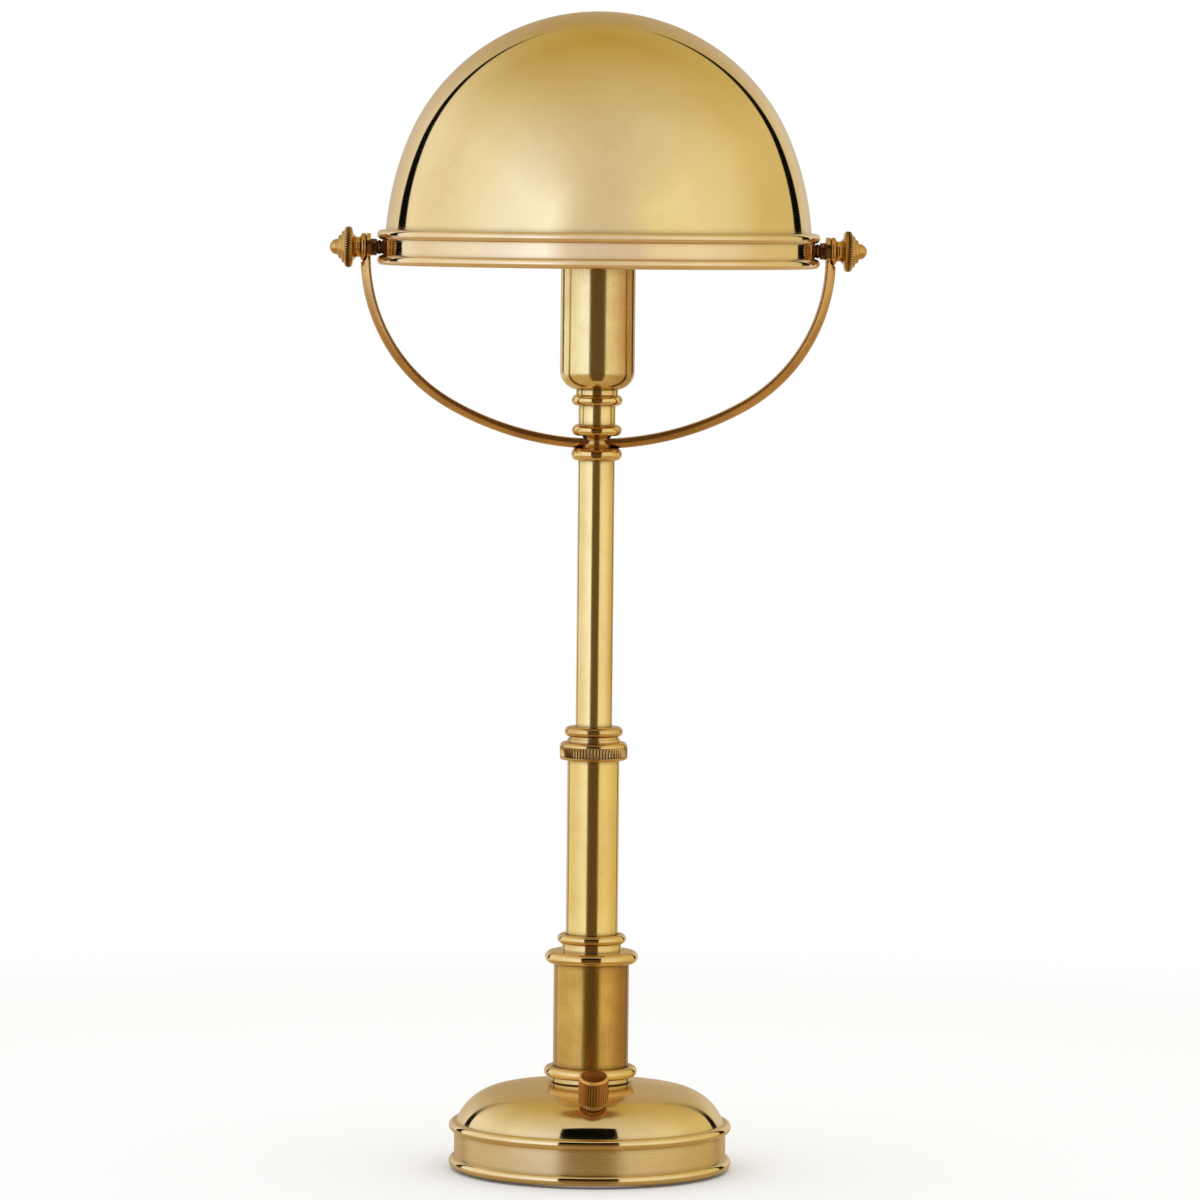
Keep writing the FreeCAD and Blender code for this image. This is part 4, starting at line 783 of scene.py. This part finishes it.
# ---------------------------------------------------------------- front card
# A tall card stands far in front, round the camera, and is no piece of the lamp. Low down it is
# brown cloth and above black, and only the shade sees it lit, by a soft box in its place.
card_away = 14.0
card_half, card_offset, card_reach = (
    card_away * math.tan(math.radians(angle)) for angle in (25, -3, 61.5))
card_waist, card_flare = 5.0, 1.45
card_brown, card_brown_to, card_black_from = (0.115, 0.072, 0.03), 2.5, 9.0
bpy.ops.object.select_all(action="DESELECT")
bpy.ops.mesh.primitive_plane_add(size=1.0, rotation=(math.radians(90), 0, 0))
card = bpy.context.object
card.name = "front_card"
card.scale = (card_half * 2, card_reach + card_waist, 1)
card.location = (card_offset, -card_away, (card_waist - card_reach) / 2)
bpy.ops.object.transform_apply(location=True, rotation=True, scale=True)
for point in card.data.vertices:
    point.select = point.co.z > 0
for edge in card.data.edges:
    edge.select = all(card.data.vertices[i].co.z > 0 for i in edge.vertices)
for face in card.data.polygons:
    face.select = False
bpy.ops.object.mode_set(mode="EDIT")
bpy.ops.mesh.extrude_region_move(TRANSFORM_OT_translate={
    "value": (0, 0, card_reach - card_waist)})
bpy.ops.transform.resize(value=(card_flare, 1, 1), center_override=(card_offset, -card_away, 0))
bpy.ops.object.mode_set(mode="OBJECT")
card_face, tree, shader, spot = finish("dark_card_and_soft_box", roughness=0.9)
rise = node(tree, "MapRange", (node(tree, "SeparateXYZ", (spot,)).outputs["Z"], card_brown_to,
                               card_black_from))
cloth = node(tree, "Mix", (rise, card_brown, (0.0, 0.0, 0.0)), data_type="RGBA")
from_shade = node(tree, "VectorMath", (spot, (0, 0, eye_z * MM)), operation="SUBTRACT")
from_shade = node(tree, "VectorMath", (from_shade,), operation="NORMALIZE")
level = node(tree, "Mix", (1.0, walls_seen(tree, from_shade)[0], cloth), data_type="RGBA",
             blend_type="SUBTRACT")
level = node(tree, "VectorMath", (level, (0, 0, 0)), operation="MAXIMUM")
node(tree, shader, {"Base Color": cloth, "Specular IOR Level": 0.0, "Emission Color": level,
                    "Emission Strength": 1.0})
card.data.materials.append(card_face)
card.visible_camera = False
card.visible_diffuse = False
card.visible_shadow = False
lit_pieces = bpy.data.collections.new("soft_box_lights")
for piece in (dome, ring):
    lit_pieces.objects.link(piece)
card.light_linking.receiver_collection = lit_pieces

# ---------------------------------------------------------------- pivots
# Studs screwed through the ring, coloured dark brown, with a flange and a shoulder, red fibre
# washers between shade and yoke, and nuts inside.
fibre, shader = mottled("red_vulcanised_fibre", "7A2A1C", "541A10", 0.3, 0.03, roughness=0.6)
dress(fibre, "friction_washers")
dark_stud_finish = brass("dark_brown_brass_studs", "8A5A28", "5A3412", "2A1505", 0.25, tarnish=0.6,
                  line_mm=0.4, relief=0.3, wear=0.5, rotation=along_x,
                  location=(0, 0, eye_z))
stud_r, stud_start, stud_end = 2.5, 90.75, 113.2
stud = turned("right_stud", (
    [(0, stud_start), (stud_r, stud_start), (stud_r, 97.05), (2.9, 97.05)]
    + bow(2.2, 98.15, 1.0, -60, 60, 6)
    + [(3.75, 99.3), (3.75, 101.18), (stud_r, 101.18), (stud_r, stud_end), (0, stud_end)]),
    64)


def along_both(piece, other_name):
    """Copy an upright piece, and lay it along +X and the copy along -X at the eyes."""
    other = piece.copy()
    other.data = piece.data.copy()
    other.name = other_name
    bpy.context.collection.objects.link(other)
    for part, turn in ((other, -90), (piece, 90)):
        bpy.ops.object.select_all(action="DESELECT")
        part.select_set(True)
        bpy.context.view_layer.objects.active = part
        laid(part, (0, math.radians(turn), 0), (0, 0, eye_z))
    return piece, other


stud, other_stud = along_both(stud, "left_stud")
other_stud.select_set(True)
bpy.ops.object.join()
stud.name = "pivot_studs"
seated(stud, "shade", "pivot_studs", dark_stud_finish)

# ---------------------------------------------------------------- side knobs
# Turned from bar and browned: a flange bead against the yoke, a waist, a knurled disc, two
# steps and a domed tip. Each screws onto its stud and clamps the tilt.
aged_knob = brass("browned_brass_knobs", "D6A85C", "96642A", "3A1F08", 0.16, tarnish=0.5,
                  line_mm=0.4, relief=0.25, crevice_mm=0.45, wear=0.8, rotation=along_x,
                  location=(0, 0, eye_z))
knurl_count = 48
grip_around = knurl_count * 4
flange_face = 103.65
grip = turned("knob_right", [(r, flange_face + out) for r, out in (
    [(0, 0)] + bow(4.9, 1.4, 1.4, -90, 90, 12)
    + [(4.5, 3.3), (4.4, 4.0), (4.6, 4.7), (5.3, 5.5), (6.4, 6.2),
       (7.5, 6.3), (8.2, 6.45), (8.65, 6.75), (8.95, 7.2), (9.05, 7.6),
       (9.1, 8.1), (9.05, 8.7), (8.85, 9.2), (8.55, 9.55), (8.0, 9.85),
       (7.6, 9.95), (7.3, 10.2), (7.0, 10.9), (6.3, 11.3), (5.6, 11.4),
       (5.4, 11.7), (5.2, 12.3), (4.6, 12.8), (3.7, 12.95)]
    + bow(0, 13.1, 3.5, 2, 90, 10))], grip_around, 0)
vertex_select()
fluted(grip, knurl_count, grip_around, flange_face + 7.4, flange_face + 9.4, 0.45, slant=1.5)
eased(grip, 0)
grip, other = along_both(grip, "knob_left")
seated(grip, "knob_right", "knob_right", aged_knob)
seated(other, "knob_left", "knob_left", aged_knob)

# ---------------------------------------------------------------- view
# Plain view.
bpy.context.scene.view_settings.view_transform = "Standard"
